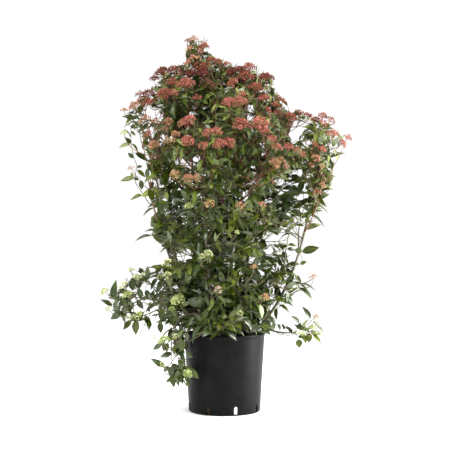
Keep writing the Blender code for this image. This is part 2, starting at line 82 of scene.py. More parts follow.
# side masses: carrier, where on it, apex, bow, half width
sprays = {
    "high_front_left": ("spire", 0.68, (-0.220, -0.150, 1.150), 0.12, 0.13),
    "shoulder_right": ("high_right", 0.70, (0.230, -0.030, 1.110), 0.40, 0.11),
    "right_tip": ("right_lobe", 0.70, (0.445, 0.020, 1.000), 0.12, 0.10),
    "shoulder_front_right": ("high_front", 0.68, (0.230, -0.190, 0.960), 0.12, 0.13),
    "left_flank": ("left", 0.56, (-0.272, -0.110, 0.800), 0.30, 0.11),
    "shoulder_front_left": ("top_left", 0.60, (-0.245, -0.190, 0.940), 0.12, 0.13),
    "front_right": ("high_front", 0.62, (0.130, -0.280, 1.030), 0.40, 0.13),
    "right_flank": ("right_lobe", 0.62, (0.365, -0.070, 0.880), 0.40, 0.11),
    "right_waist": ("right_lobe", 0.54, (0.318, 0.060, 0.790), 0.40, 0.11),
    "rear_right": ("high_rear_right", 0.68, (0.260, 0.230, 1.040), 0.12, 0.14),
    "rear_left": ("high_rear_left", 0.70, (-0.230, 0.260, 1.060), 0.12, 0.14),
    "rear": ("high_rear_right", 0.60, (-0.020, 0.330, 0.980), 0.12, 0.14),
    "waist_left": ("high_left", 0.40, (-0.222, -0.030, 0.660), 0.25, 0.12),
    "waist_front_left": ("front", 0.46, (-0.170, -0.250, 0.640), 0.12, 0.13),
    "waist_front": ("high_front", 0.54, (-0.020, -0.310, 0.810), 0.12, 0.13),
    "waist_front_right": ("high_front", 0.44, (0.170, -0.250, 0.710), 0.12, 0.13),
    "waist_rear_right": ("high_rear_right", 0.36, (0.230, 0.230, 0.700), 0.12, 0.14),
    "waist_rear": ("high_rear_left", 0.36, (-0.020, 0.300, 0.700), 0.12, 0.14),
    "waist_rear_left": ("high_rear_left", 0.42, (-0.220, 0.220, 0.680), 0.12, 0.14),
    "left_arm_top": ("left_arm", 0.40, (-0.325, -0.020, 0.520), 0.12, 0.10),
    "left_arm_low": ("left_arm", 0.34, (-0.342, -0.110, 0.348), 0.12, 0.11),
    "front_rim": ("high_front", 0.08, (-0.040, -0.230, 0.335), 0.12, 0.12),
    "right_spray": ("right_lobe", 0.32, (0.318, 0.000, 0.490), 0.25, 0.09),
    "low_left": ("top_left", 0.12, (-0.185, -0.150, 0.450), 0.12, 0.13),
    "low_right": ("high_right", 0.20, (0.205, -0.090, 0.480), 0.12, 0.13),
    "low_rear": ("high_rear_right", 0.12, (0.060, 0.260, 0.410), 0.12, 0.14),
    "low_rear_left": ("high_rear_left", 0.10, (-0.200, 0.210, 0.390), 0.12, 0.14),
    "low_front_right": ("high_front", 0.22, (0.070, -0.260, 0.480), 0.12, 0.13),
}
# finer sprays that fill the crown between the masses, set out in the same way
fillers = {
    "right_inner": ("high_right", 0.52, (0.245, 0.010, 0.905), 0.12, 0.10),
    "right_inner_low": ("high_right", 0.40, (0.225, 0.030, 0.760), 0.12, 0.10),
    "right_fan": ("right_lobe", 0.16, (0.215, -0.080, 0.480), 0.12, 0.09),
    "rim_right": ("high_right", 0.08, (0.150, -0.130, 0.380), 0.12, 0.10),
    "rim_left": ("front", 0.10, (-0.120, -0.180, 0.360), 0.12, 0.10),
    "front_heart": ("high_front", 0.34, (-0.060, -0.230, 0.560), 0.12, 0.13),
    "waist_left_front": ("left", 0.26, (-0.232, -0.110, 0.700), 0.12, 0.08),
    "waist_left_low": ("left", 0.18, (-0.190, -0.090, 0.610), 0.12, 0.07),
    "top_heart": ("top_middle", 0.66, (-0.034, -0.120, 1.205), 0.12, 0.08),
    "top_heart_left": ("top_left", 0.72, (-0.105, -0.130, 1.170), 0.12, 0.08),
}
tipHalfWidth = 0.12     # of the mass that ends a stem or a bough
soilLevel = 0.262

# how far the crown reaches left and right at each height, from the front at eye level
reach = (
    (0.085, -0.190, 0.0), (0.105, -0.212, 0.05), (0.160, -0.235, 0.15), (0.185, -0.258, 0.16),
    (0.215, -0.250, 0.17), (0.235, -0.255, 0.275), (0.255, -0.262, 0.345), (0.285, -0.330, 0.350),
    (0.310, -0.365, 0.350), (0.345, -0.405, 0.330), (0.380, -0.430, 0.290), (0.405, -0.440, 0.250),
    (0.430, -0.445, 0.265), (0.455, -0.425, 0.290), (0.480, -0.385, 0.290), (0.505, -0.350, 0.285),
    (0.530, -0.325, 0.270), (0.545, -0.215, 0.270), (0.590, -0.192, 0.275), (0.610, -0.214, 0.280),
    (0.635, -0.268, 0.270), (0.670, -0.276, 0.275), (0.700, -0.272, 0.315), (0.750, -0.270, 0.372),
    (0.800, -0.272, 0.388), (0.850, -0.275, 0.400), (0.890, -0.278, 0.402), (0.940, -0.280, 0.405),
    (0.965, -0.285, 0.445), (1.000, -0.300, 0.475), (1.030, -0.320, 0.430), (1.060, -0.372, 0.405),
    (1.100, -0.382, 0.402), (1.112, -0.375, 0.330), (1.122, -0.355, 0.222), (1.165, -0.322, 0.212),
    (1.190, -0.272, 0.180), (1.220, -0.278, 0.182), (1.250, -0.262, 0.168), (1.275, -0.240, 0.110),
    (1.288, -0.165, 0.028), (1.302, -0.146, 0.010), (1.312, -0.140, -0.046), (1.366, -0.144, -0.056),
    (1.386, -0.128, -0.072),
)
eyeLevel, eyeDistance, eyeAcross = 0.682, 4.0, 0.0056
potWindow = (-0.125, 0.182, 0.277)     # left, right and top of what the pot keeps clear

# Places below are counted in squares of a front grid, right and down from its top left corner.
gridStep, gridMiddle = 0.0037, 226
# flower heads by tint: across, down, width
heads = {
    "maroon": ((202, 74, 17), (190, 74, 13), (163, 73, 17), (175, 71, 16), (154, 79, 10), (233, 72, 15),
               (241, 70, 12), (266, 78, 16), (200, 70, 14), (148, 94, 12), (261, 77, 8)),
    "brick": ((188, 41, 7), (200, 49, 6), (204, 46, 11), (205, 66, 12), (212, 60, 10), (219, 62, 9),
              (226, 64, 9), (197, 66, 9), (201, 52, 7), (172, 82, 12), (249, 68, 15), (245, 77, 18),
              (233, 82, 11), (166, 94, 15), (256, 87, 15), (241, 94, 8), (197, 98, 9), (278, 113, 10),
              (264, 131, 10), (278, 98, 8), (283, 101, 8), (290, 117, 13), (300, 112, 7), (308, 116, 10),
              (323, 116, 10), (331, 120, 9), (316, 120, 10), (148, 103, 13), (316, 192, 8), (314, 144, 9),
              (140, 94, 9)),
    "rose": ((187, 84, 17), (174, 93, 9), (229, 103, 14), (240, 101, 13), (264, 98, 12), (275, 105, 10),
             (241, 124, 17), (259, 123, 17), (189, 121, 14), (188, 141, 13), (208, 132, 10), (216, 131, 10),
             (219, 143, 11), (228, 143, 14), (203, 145, 9), (272, 139, 10), (277, 147, 10), (288, 147, 10),
             (297, 150, 8), (303, 154, 7), (148, 134, 9), (333, 134, 13), (342, 143, 10), (348, 138, 9),
             (322, 149, 9), (324, 123, 8)),
    "salmon": ((194, 39, 9), (193, 58, 8), (188, 63, 9), (190, 48, 7), (134, 106, 13), (146, 118, 9),
               (154, 121, 7), (168, 122, 11), (165, 129, 8), (181, 123, 7), (153, 145, 11), (176, 134, 9),
               (274, 163, 12), (281, 160, 8), (316, 158, 9), (311, 165, 7), (188, 178, 10), (197, 177, 7),
               (322, 185, 7), (240, 205, 8), (262, 204, 8), (124, 110, 7), (286, 166, 6)),
    "orange": ((175, 174, 10), (209, 203, 9), (265, 297, 9), (141, 122, 6), (198, 58, 6), (322, 166, 6),
               (168, 141, 8), (174, 140, 6), (254, 267, 7), (316, 317, 7)),
    "cream": ((105, 291, 10), (124, 285, 9), (137, 277, 9), (131, 270, 7), (143, 274, 5), (108, 309, 7),
              (129, 317, 6), (167, 262, 9), (168, 275, 8), (159, 277, 6), (208, 253, 8), (202, 256, 6),
              (154, 337, 6), (175, 336, 6), (240, 313, 6)),
    "lime": ((127, 295, 11), (138, 315, 9), (178, 300, 15), (164, 340, 12), (163, 364, 6), (187, 373, 10),
             (313, 328, 7), (190, 206, 10), (124, 133, 7), (237, 232, 5), (172, 309, 6)),
    "open": ((131, 168, 8), (218, 289, 7), (314, 277, 8)),
}
# openings in the crown: across, down, radius
gaps = ((193, 104, 2), (193, 113, 3), (206, 107, 2), (250, 107, 4), (250, 117, 4), (163, 139, 5),
        (172, 137, 3), (196, 158, 2.5), (201, 160, 2), (184, 161, 2.5), (177, 160, 2), (190, 166, 2),
        (161, 117, 3), (152, 116, 3), (147, 110, 3), (266, 119, 2), (264, 141, 3), (264, 149, 4),
        (295, 131, 5), (295, 124, 4), (305, 143, 3), (294, 138, 3), (337, 149, 3), (255, 166, 2.5),
        (256, 173, 2), (252, 181, 4), (246, 193, 4), (268, 200, 4), (283, 184, 4.5), (275, 181, 3),
        (300, 172, 3), (293, 184, 3), (306, 196, 3), (158, 185, 3), (169, 179, 2), (154, 181, 2),
        (269, 238, 6), (281, 239, 5), (283, 228, 3), (294, 240, 5), (296, 230, 4), (296, 255, 4),
        (292, 251, 3), (270, 250, 3), (253, 259, 3), (225, 277, 3), (232, 265, 2), (242, 277, 2.5),
        (186, 254, 5), (180, 257, 4), (161, 256, 6), (193, 312, 3.5), (175, 286, 2.5), (136, 295, 3),
        (136, 305, 3), (147, 288, 3), (147, 310, 2), (269, 283, 3), (269, 288, 2), (280, 311, 7),
        (290, 318, 6), (287, 309, 6), (298, 300, 6), (172, 345, 3), (176, 359, 3), (184, 360, 3),
        (175, 371, 2), (168, 330, 3), (137, 145, 4), (138, 162, 3), (139, 185, 3), (143, 180, 2),
        (155, 155, 2), (141, 148, 3), (303, 210, 2.5), (300, 222, 3), (312, 243, 6), (311, 261, 6),
        (262, 221, 2), (270, 231, 3), (224, 141, 1), (153, 132, 4), (156, 112, 3), (131, 160, 4),
        (126, 160, 5))
# shoots that stand clear: depth, then places from the foot to the tip
clearShoots = {
    "left_outer": (-0.02, ((149, 203), (143, 194), (139, 188), (135, 181), (136, 171), (137, 166), (134, 158),
                           (132, 148), (131, 138), (131, 126))),
    "left_inner": (-0.04, ((152, 192), (149, 184), (148, 171), (146, 160), (144, 150), (141, 140),
                           (139, 131))),
    "left_cyme": (-0.02, ((131, 137), (128, 132), (124, 130), (121, 134))),
    "right_inner": (-0.02, ((283, 276), (284, 264), (286, 250), (288, 238), (290, 229), (294, 218),
                            (296, 210))),
    "right_cross": (0.0, ((303, 239), (297, 235), (290, 232), (280, 228))),
    "right_upper": (-0.02, ((273, 200), (280, 190), (287, 180), (292, 170), (300, 162), (309, 158))),
    "right_side": (-0.02, ((290, 286), (297, 284), (304, 283), (311, 280), (314, 277))),
    "right_low": (-0.04, ((264, 318), (268, 322), (272, 328), (277, 333), (284, 335), (291, 335), (298, 331),
                          (304, 327), (309, 323), (312, 320), (315, 318))),
    "right_low_fork": (-0.04, ((300, 329), (306, 330), (311, 332), (314, 333))),
    "arm_upper": (-0.05, ((165, 300), (155, 287), (147, 282), (140, 279), (133, 274), (129, 270))),
    "arm_lower": (-0.07, ((166, 306), (152, 304), (140, 303), (131, 308), (124, 309), (116, 306),
                          (109, 302))),
    "arm_fork": (-0.07, ((140, 303), (135, 297), (131, 292), (124, 291), (114, 298))),
    "hanging_low": (-0.14, ((178, 341), (181, 350), (181, 362), (184, 368), (186, 372))),
    "hanging_side": (-0.14, ((180, 353), (175, 357), (171, 363), (168, 366), (164, 366))),
    "rim_loop": (-0.2, ((203, 322), (204, 327), (206, 331), (211, 334), (216, 332), (219, 328), (224, 327))),
    "rim_swag": (-0.2, ((203, 324), (196, 328), (188, 329), (181, 332))),
    "rim_swag_low": (-0.2, ((201, 328), (201, 334), (195, 338), (189, 341))),
}
# leaves that stand clear: depth, then where each blade begins and ends, how wide it looks, its tint
clearLeaves = {
    "left_edge": (-0.02, (
        (142, 195, 130, 197, 4.0, "mid"), (134, 178, 121, 179, 5.0, "mid"), (133, 178, 131, 172, 4.0, "mid"),
        (131, 144, 118, 145, 4.5, "pale"), (134, 158, 128, 153, 5.0, "deep"),
        (131, 143, 126, 138, 4.0, "deep"), (132, 144, 140, 150, 2.5, "mid"),
        (137, 167, 143, 166, 3.5, "deep"), (137, 170, 146, 176, 4.0, "mid"), (131, 124, 122, 125, 1.5, "mid"),
        (131, 128, 136, 124, 4.0, "olive"), (131, 131, 136, 136, 3.0, "mid"),
        (136, 119, 124, 114, 4.5, "deep"), (141, 180, 142, 190, 6.5, "olive"),
        (134, 178, 139, 180, 2.5, "deep"), (154, 208, 142, 212, 2.5, "slate"),
        (156, 205, 146, 205, 3.0, "olive"), (152, 236, 136, 235, 2.5, "slate"),
        (156, 231, 145, 228, 2.5, "deep"), (172, 246, 157, 249, 2.5, "slate"),
        (154, 236, 164, 243, 5.0, "mid"), (166, 236, 158, 229, 4.5, "deep"),
        (165, 228, 155, 222, 4.5, "olive"), (168, 246, 176, 238, 5.0, "olive"),
        (163, 222, 170, 214, 5.0, "mid"), (160, 213, 152, 219, 4.5, "olive"),
        (172, 252, 180, 246, 5.0, "deep"), (170, 250, 164, 243, 4.0, "deep"),
        (158, 206, 164, 199, 4.5, "olive"), (162, 218, 153, 214, 4.0, "deep"))),
    "left_inner": (-0.04, (
        (135, 153, 149, 159, 5.5, "deep"), (146, 153, 155, 152, 3.0, "deep"),
        (148, 168, 146, 181, 5.0, "slate"), (153, 190, 142, 196, 6.5, "fresh"),
        (153, 187, 163, 200, 8.0, "fresh"), (154, 194, 149, 199, 4.0, "olive"),
        (147, 160, 156, 164, 4.0, "deep"), (145, 151, 152, 147, 3.5, "mid"),
        (142, 142, 151, 144, 4.0, "mid"))),
    "arm": (-0.06, (
        (113, 299, 114, 283, 7.0, "deep"), (133, 290, 131, 279, 6.5, "deep"),
        (117, 304, 117, 291, 5.0, "deep"), (118, 290, 128, 290, 3.0, "deep"),
        (112, 306, 102, 298, 4.5, "deep"), (121, 312, 111, 319, 7.0, "slate"),
        (131, 320, 123, 330, 6.0, "olive"), (136, 320, 135, 336, 8.0, "olive"),
        (145, 320, 130, 317, 4.5, "deep"), (145, 317, 150, 324, 5.5, "olive"),
        (160, 322, 161, 334, 6.5, "deep"), (127, 309, 134, 315, 3.0, "deep"),
        (165, 281, 152, 293, 6.0, "slate"), (172, 298, 156, 308, 7.0, "slate"),
        (158, 278, 149, 287, 4.0, "deep"), (162, 308, 160, 322, 7.0, "olive"),
        (137, 300, 143, 309, 5.5, "deep"), (157, 304, 143, 309, 4.5, "slate"),
        (141, 298, 139, 287, 6.5, "deep"), (174, 273, 177, 261, 7.5, "fresh"),
        (161, 268, 155, 273, 4.0, "olive"), (171, 269, 161, 265, 3.0, "deep"),
        (126, 305, 120, 297, 6.0, "deep"), (131, 306, 128, 297, 5.0, "deep"),
        (146, 290, 150, 300, 5.5, "deep"), (119, 307, 124, 299, 5.0, "slate"),
        (150, 293, 158, 300, 5.0, "olive"), (154, 290, 151, 305, 5.0, "deep"),
        (186, 281, 191, 270, 5.4, "deep"), (134, 302, 128, 312, 4.5, "deep"))),
    "hanging": (-0.15, (
        (170, 341, 171, 327, 5.5, "deep"), (162, 343, 153, 350, 5.0, "slate"),
        (166, 343, 163, 353, 6.0, "olive"), (172, 353, 160, 357, 5.5, "deep"),
        (165, 367, 152, 359, 6.0, "deep"), (180, 339, 182, 352, 9.0, "olive"),
        (175, 345, 173, 353, 4.0, "deep"), (172, 366, 170, 378, 7.0, "slate"),
        (179, 375, 165, 381, 5.5, "olive"), (187, 368, 199, 379, 7.5, "olive"),
        (179, 369, 171, 363, 5.5, "deep"), (184, 368, 192, 366, 3.0, "deep"),
        (186, 352, 193, 358, 6.0, "deep"), (182, 360, 187, 368, 3.0, "olive"),
        (170, 367, 163, 371, 4.0, "deep"), (180, 351, 184, 360, 4.5, "deep"),
        (177, 340, 170, 334, 4.0, "olive"), (183, 377, 190, 372, 4.5, "mid"),
        (176, 309, 172, 323, 5.4, "deep"), (180, 316, 169, 322, 4.5, "olive"),
        (167, 316, 176, 326, 4.5, "deep"), (176, 331, 168, 340, 4.5, "deep"),
        (168, 343, 166, 353, 4.5, "olive"), (173, 337, 181, 331, 4.5, "deep"),
        (186, 374, 177, 381, 4.5, "deep"))),
    "rim": (-0.21, (
        (203, 324, 188, 338, 4.0, "slate"), (203, 320, 208, 307, 6.0, "olive"),
        (222, 329, 238, 337, 5.5, "deep"), (219, 327, 232, 327, 2.0, "slate"),
        (202, 323, 190, 322, 3.5, "olive"), (205, 322, 217, 326, 4.0, "olive"),
        (262, 326, 277, 327, 5.0, "olive"), (188, 299, 200, 307, 7.0, "slate"),
        (202, 321, 194, 314, 5.0, "deep"), (205, 323, 212, 316, 4.5, "deep"),
        (250, 332, 261, 325, 5.0, "slate"), (244, 320, 256, 327, 5.0, "deep"),
        (258, 332, 270, 331, 3.0, "slate"), (241, 319, 230, 325, 4.5, "olive"),
        (226, 323, 214, 318, 5.0, "deep"), (262, 318, 253, 311, 5.0, "slate"),
        (234, 330, 246, 333, 3.0, "deep"))),
    "right_edge": (0.0, (
        (302, 252, 319, 247, 8.0, "olive"), (302, 251, 295, 250, 7.0, "olive"),
        (300, 264, 307, 261, 4.5, "mid"), (299, 264, 285, 263, 4.0, "mid"), (288, 246, 279, 247, 3.5, "mid"),
        (288, 245, 297, 244, 3.0, "mid"), (287, 249, 297, 249, 4.0, "deep"),
        (306, 230, 321, 220, 6.0, "pale"), (310, 215, 327, 221, 2.5, "deep"),
        (313, 204, 331, 207, 2.5, "mid"), (317, 198, 330, 193, 5.5, "slate"),
        (324, 184, 333, 177, 5.5, "fresh"), (321, 177, 335, 172, 3.0, "mid"),
        (283, 251, 286, 260, 6.0, "slate"), (286, 267, 291, 277, 4.5, "deep"),
        (295, 275, 302, 283, 4.0, "deep"), (299, 288, 315, 295, 4.0, "slate"),
        (300, 284, 317, 285, 2.0, "slate"), (300, 285, 309, 288, 2.0, "mid"),
        (292, 284, 284, 291, 6.0, "olive"), (304, 226, 295, 223, 3.0, "mid"),
        (282, 225, 291, 221, 4.0, "fresh"), (290, 234, 280, 234, 2.0, "mid"),
        (276, 272, 286, 281, 5.0, "deep"), (278, 301, 277, 284, 7.0, "slate"),
        (320, 205, 310, 197, 4.0, "deep"), (327, 190, 335, 187, 2.5, "fresh"),
        (330, 158, 342, 150, 4.0, "mid"), (334, 150, 340, 160, 4.0, "fresh"),
        (328, 168, 334, 163, 4.0, "mid"))),
    "right_heart": (-0.03, (
        (303, 181, 298, 193, 6.5, "deep"), (282, 189, 297, 186, 4.5, "deep"),
        (298, 192, 281, 196, 7.5, "olive"), (283, 200, 297, 197, 5.0, "deep"),
        (311, 199, 298, 203, 4.5, "deep"), (303, 203, 291, 209, 5.5, "olive"),
        (286, 201, 288, 212, 5.5, "deep"), (284, 204, 271, 208, 4.5, "deep"),
        (291, 210, 304, 216, 6.0, "deep"), (303, 216, 313, 212, 4.5, "mid"),
        (281, 216, 292, 219, 5.5, "deep"), (279, 213, 274, 222, 5.0, "deep"),
        (270, 218, 255, 215, 5.0, "olive"), (268, 186, 274, 198, 4.0, "slate"),
        (286, 182, 287, 169, 5.0, "olive"), (305, 178, 304, 168, 3.5, "mid"),
        (300, 180, 289, 177, 3.0, "mid"), (313, 187, 316, 174, 5.5, "mid"), (262, 221, 271, 230, 6.5, "deep"),
        (268, 212, 258, 222, 6.0, "deep"), (271, 225, 258, 230, 5.0, "olive"),
        (268, 202, 266, 213, 5.5, "deep"))),
    "left_heart": (-0.09, (
        (170, 197, 182, 190, 5.5, "olive"), (173, 202, 184, 197, 5.0, "deep"),
        (179, 185, 171, 193, 5.0, "mid"), (168, 204, 174, 194, 4.5, "deep"))),
    "right_low": (-0.05, (
        (310, 319, 305, 305, 5.0, "deep"), (313, 322, 327, 330, 4.5, "olive"),
        (312, 333, 324, 332, 4.5, "mid"), (313, 335, 322, 341, 3.5, "mid"), (309, 333, 309, 343, 7.0, "mid"),
        (299, 339, 299, 348, 7.5, "mid"), (301, 325, 303, 334, 5.0, "deep"),
        (299, 323, 294, 315, 3.5, "deep"), (277, 324, 283, 331, 3.5, "deep"),
        (285, 328, 295, 329, 3.0, "deep"), (298, 336, 304, 338, 3.0, "olive"),
        (277, 308, 274, 320, 4.0, "deep"), (279, 305, 292, 310, 3.0, "olive"),
        (279, 301, 295, 302, 3.5, "slate"), (287, 296, 294, 301, 2.5, "slate"),
        (284, 330, 283, 322, 3.0, "deep"), (292, 334, 288, 326, 3.5, "deep"),
        (297, 329, 301, 322, 4.0, "deep"), (302, 329, 295, 325, 3.5, "deep"))),
}
print("plan:", len(stems), "stems,", len(boughs), "boughs,", len(sprays) + len(fillers), "side masses")


def rgb(r, g, b):
    return (r, g, b, 1.0)


def addMesh(name, points, faces, edges=()):
    mesh = bpy.data.meshes.new(name)
    mesh.from_pydata(points, edges, faces)
    return mesh


def addObject(name, data):
    obj = bpy.data.objects.new(name, data)
    bpy.context.scene.collection.objects.link(obj)
    return obj


def evaluatedMesh(obj):
    graph = bpy.context.evaluated_depsgraph_get()
    return bpy.data.meshes.new_from_object(obj.evaluated_get(graph), depsgraph=graph)


def ringPoints(place, side, other, radius, count):
    turns = [2 * math.pi * corner / count for corner in range(count)]
    return [place + radius * (math.cos(turn) * side + math.sin(turn) * other) for turn in turns]


# the skin of a three-sided rod whose six points begin at this one
def rodFaces(first):
    faces = []
    for corner in range(3):
        after = (corner + 1) % 3
        faces.append((first + corner, first + after, first + 3 + after, first + 3 + corner))
    return faces + [(first + 2, first + 1, first), (first + 3, first + 4, first + 5)]


def corners(*face):     # with those that fall together counted once
    return list(dict.fromkeys(face))


class Nodes:     # adds the nodes of one tree and joins them
    def __init__(self, tree):
        self.tree = tree

    def add(self, kind, inputs=None, **settings):
        node = self.tree.nodes.new(kind)
        for name, value in settings.items():
            setattr(node, name, value)
        for key, value in (inputs or {}).items():
            socket = node.inputs[key]
            if isinstance(value, bpy.types.NodeSocket):
                self.tree.links.new(value, socket)
            else:
                socket.default_value = value
        return node

    def math(self, operation, *values):
        return self.add("ShaderNodeMath", dict(enumerate(values)), operation=operation).outputs[0]

    def named(self, name, kind):
        node = self.add("GeometryNodeInputNamedAttribute", {"Name": name}, data_type=kind)
        return node.outputs["Attribute"]

    def setMaterial(self, made, material, **where):
        inputs = {"Geometry": made.outputs["Geometry"], "Material": material, **where}
        return self.add("GeometryNodeSetMaterial", inputs)


def newMaterial(name, roughness, gloss):
    material = bpy.data.materials.new(name)
    material.use_nodes = True
    shader = material.node_tree.nodes["Principled BSDF"]
    shader.inputs["Roughness"].default_value = roughness
    shader.inputs["Specular IOR Level"].default_value = gloss
    return material, Nodes(material.node_tree), shader


# a colour that drifts between two or three tones over a given size in metres
def driftingTones(nodes, where, size, tones, spread, detail):
    drift = nodes.add("ShaderNodeTexNoise", {"Vector": where, "Scale": 1 / size, "Detail": detail})
    ramp = nodes.add("ShaderNodeValToRGB", {"Fac": drift.outputs["Fac"]})
    stops = ramp.color_ramp.elements
    stops[0].position, stops[1].position = 0.5 - spread, 0.5 + spread
    stops[0].color, stops[1].color = rgb(*tones[0]), rgb(*tones[-1])
    if len(tones) > 2:
        stops.new(0.5).color = rgb(*tones[1])
    return ramp.outputs["Color"]


def bumpOn(nodes, shader, height, strength, depth):
    bump = nodes.add("ShaderNodeBump", {"Height": height, "Strength": strength, "Distance": depth})
    nodes.tree.links.new(bump.outputs["Normal"], shader.inputs["Normal"])


# drift is the size in metres over which the tones change; grain is the size and depth of the relief
def speckled(name, tones, drift, roughness, gloss, grain=None, detail=3.0, spread=0.16):
    material, nodes, shader = newMaterial(name, roughness, gloss)
    where = nodes.add("ShaderNodeTexCoord").outputs["Object"]
    tone = driftingTones(nodes, where, drift, tones, spread, detail)
    nodes.tree.links.new(tone, shader.inputs["Base Color"])
    if grain:
        relief = nodes.add("ShaderNodeTexNoise", {"Vector": where, "Scale": 1 / grain[0], "Detail": 4.0})
        bumpOn(nodes, shader, relief.outputs["Fac"], 0.7, grain[1])
    return material


# a geometry tree with the extra inputs, each as (name, kind, value)
def newTree(name, *extra):
    tree = bpy.data.node_groups.new(name, "GeometryNodeTree")
    tree.interface.new_socket("Geometry", in_out="INPUT", socket_type="NodeSocketGeometry")
    tree.interface.new_socket("Geometry", in_out="OUTPUT", socket_type="NodeSocketGeometry")
    for label, kind, value in extra:
        socket = tree.interface.new_socket(label, in_out="INPUT", socket_type="NodeSocket" + kind)
        if value is not None:
            socket.default_value = value
    nodes = Nodes(tree)
    return tree, nodes, nodes.add("NodeGroupInput").outputs, nodes.add("NodeGroupOutput")


# the plain mesh that a tree makes of an object, as a new object in its place
def baked(obj, tree, settings, name):
    modifier = obj.modifiers.new("grow", "NODES")
    modifier.node_group = tree
    for item in tree.interface.items_tree:
        if item.item_type == "SOCKET" and item.in_out == "INPUT" and item.name in settings:
            modifier[item.identifier] = settings[item.name]
    obj.update_tag()
    bpy.context.view_layer.update()
    mesh = evaluatedMesh(obj)
    mesh.name = name
    made = addObject(name, mesh)
    obj.modifiers.clear()
    bpy.data.objects.remove(obj, do_unlink=True)
    return made


# round tubes along runs of edges, as thick as their points say, with a little relief
def tubeTree():
    tree, nodes, given, out = newTree(
        "tubes on runs", ("Material", "Material", None), ("Sides", "Int", 6), ("Thickness", "Float", 1.0),
        ("Relief", "Float", 0.0), ("Relief size", "Float", 0.004), ("Seed", "Int", 5))
    lines = nodes.add("GeometryNodeMeshToCurve", {"Mesh": given["Geometry"]})
    ring = nodes.add("GeometryNodeCurvePrimitiveCircle", {"Resolution": given["Sides"], "Radius": 1.0})
    tube = nodes.add("GeometryNodeCurveToMesh", {
        "Curve": lines.outputs["Curve"], "Profile Curve": ring.outputs["Curve"], "Fill Caps": True,
        "Scale": nodes.math("MULTIPLY", nodes.named("thick", "FLOAT"), given["Thickness"])})
    grain = nodes.add("ShaderNodeTexNoise", {
        "Vector": nodes.add("GeometryNodeInputPosition").outputs[0], "W": given["Seed"],
        "Scale": nodes.math("DIVIDE", 1.0, given["Relief size"]), "Detail": 2.0}, noise_dimensions="4D")
    push = nodes.math("MULTIPLY", nodes.math("SUBTRACT", grain.outputs["Fac"], 0.5), given["Relief"])
    move = nodes.add("ShaderNodeVectorMath", {
        0: nodes.add("GeometryNodeInputNormal").outputs[0], "Scale": push}, operation="SCALE")
    rough = nodes.add("GeometryNodeSetPosition", {"Geometry": tube.outputs["Mesh"],
                                                  "Offset": move.outputs["Vector"]})
    real = nodes.add("GeometryNodeRealizeInstances", {"Geometry": rough.outputs["Geometry"]})
    done = nodes.setMaterial(real, given["Material"])
    tree.links.new(done.outputs["Geometry"], out.inputs["Geometry"])
    return tree


# one of the shapes of a collection on every point, turned and sized as the point says
def scatterTree():
    tree, nodes, given, out = newTree(
        "shapes on points", ("Shapes", "Collection", None), ("Size", "Float", 1.0),
        ("Size spread", "Float", 0.0), ("Seed", "Int", 5), ("Material", "Material", None),
        ("Underside", "Material", None), ("Stalk", "Material", None))
    shapes = nodes.add("GeometryNodeCollectionInfo", {
        "Collection": given["Shapes"], "Separate Children": True, "Reset Children": True})
    points = nodes.add("GeometryNodeMeshToPoints", {"Mesh": given["Geometry"]})
    least = nodes.math("SUBTRACT", 1.0, given["Size spread"])
    most = nodes.math("ADD", 1.0, given["Size spread"])
    chance = nodes.add("FunctionNodeRandomValue", {2: least, 3: most, "Seed": given["Seed"]},
                       data_type="FLOAT")
    sized = nodes.math("MULTIPLY", nodes.named("size", "FLOAT"), given["Size"])
    placed = nodes.add("GeometryNodeInstanceOnPoints", {
        "Points": points.outputs["Points"], "Instance": shapes.outputs["Instances"],
        "Pick Instance": True, "Instance Index": nodes.named("pick", "INT"),
        "Rotation": nodes.named("turn", "QUATERNION"),
        "Scale": nodes.math("MULTIPLY", sized, chance.outputs[1])})
    real = nodes.add("GeometryNodeRealizeInstances", {"Geometry": placed.outputs["Instances"]})
    made = nodes.setMaterial(real, given["Material"])
    for part, look in (("under", "Underside"), ("stalk", "Stalk")):
        made = nodes.setMaterial(made, given[look], Selection=nodes.named(part, "BOOLEAN"))
    tree.links.new(made.outputs["Geometry"], out.inputs["Geometry"])
    return tree


tubes, scatter = tubeTree(), scatterTree()


# runs, each a list of (point, radius), as one mesh of edges
def runsObject(name, runs):
    points, edges, thick = [], [], []
    for run in runs:
        first = len(points)
        points += [p for p, _ in run]
        thick += [r for _, r in run]
        edges += [(i, i + 1) for i in range(first, len(points) - 1)]
    mesh = addMesh(name, points, [], edges)
    mesh.attributes.new("thick", "FLOAT", "POINT").data.foreach_set("value", thick)
    return addObject(name, mesh)


# spots, each (place, turn, size, pick), as one mesh of points
def pointsObject(name, spots):
    mesh = addMesh(name, [s[0] for s in spots], [])
    turn = mesh.attributes.new("turn", "QUATERNION", "POINT")
    turn.data.foreach_set("value", [v for s in spots for v in s[1]])
    mesh.attributes.new("size", "FLOAT", "POINT").data.foreach_set("value", [s[2] for s in spots])
    mesh.attributes.new("pick", "INT", "POINT").data.foreach_set("value", [s[3] for s in spots])
    return addObject(name, mesh)


# hidden master shapes for the scatter tree to pick from
def shapeCollection(name, meshes):
    kept = bpy.data.collections.new(name)
    for index, mesh in enumerate(meshes):
        kept.objects.link(bpy.data.objects.new(f"{name}_{index}", mesh))
    return kept


def dropCollection(kept):
    for obj in list(kept.objects):
        bpy.data.objects.remove(obj, do_unlink=True)
    bpy.data.collections.remove(kept)


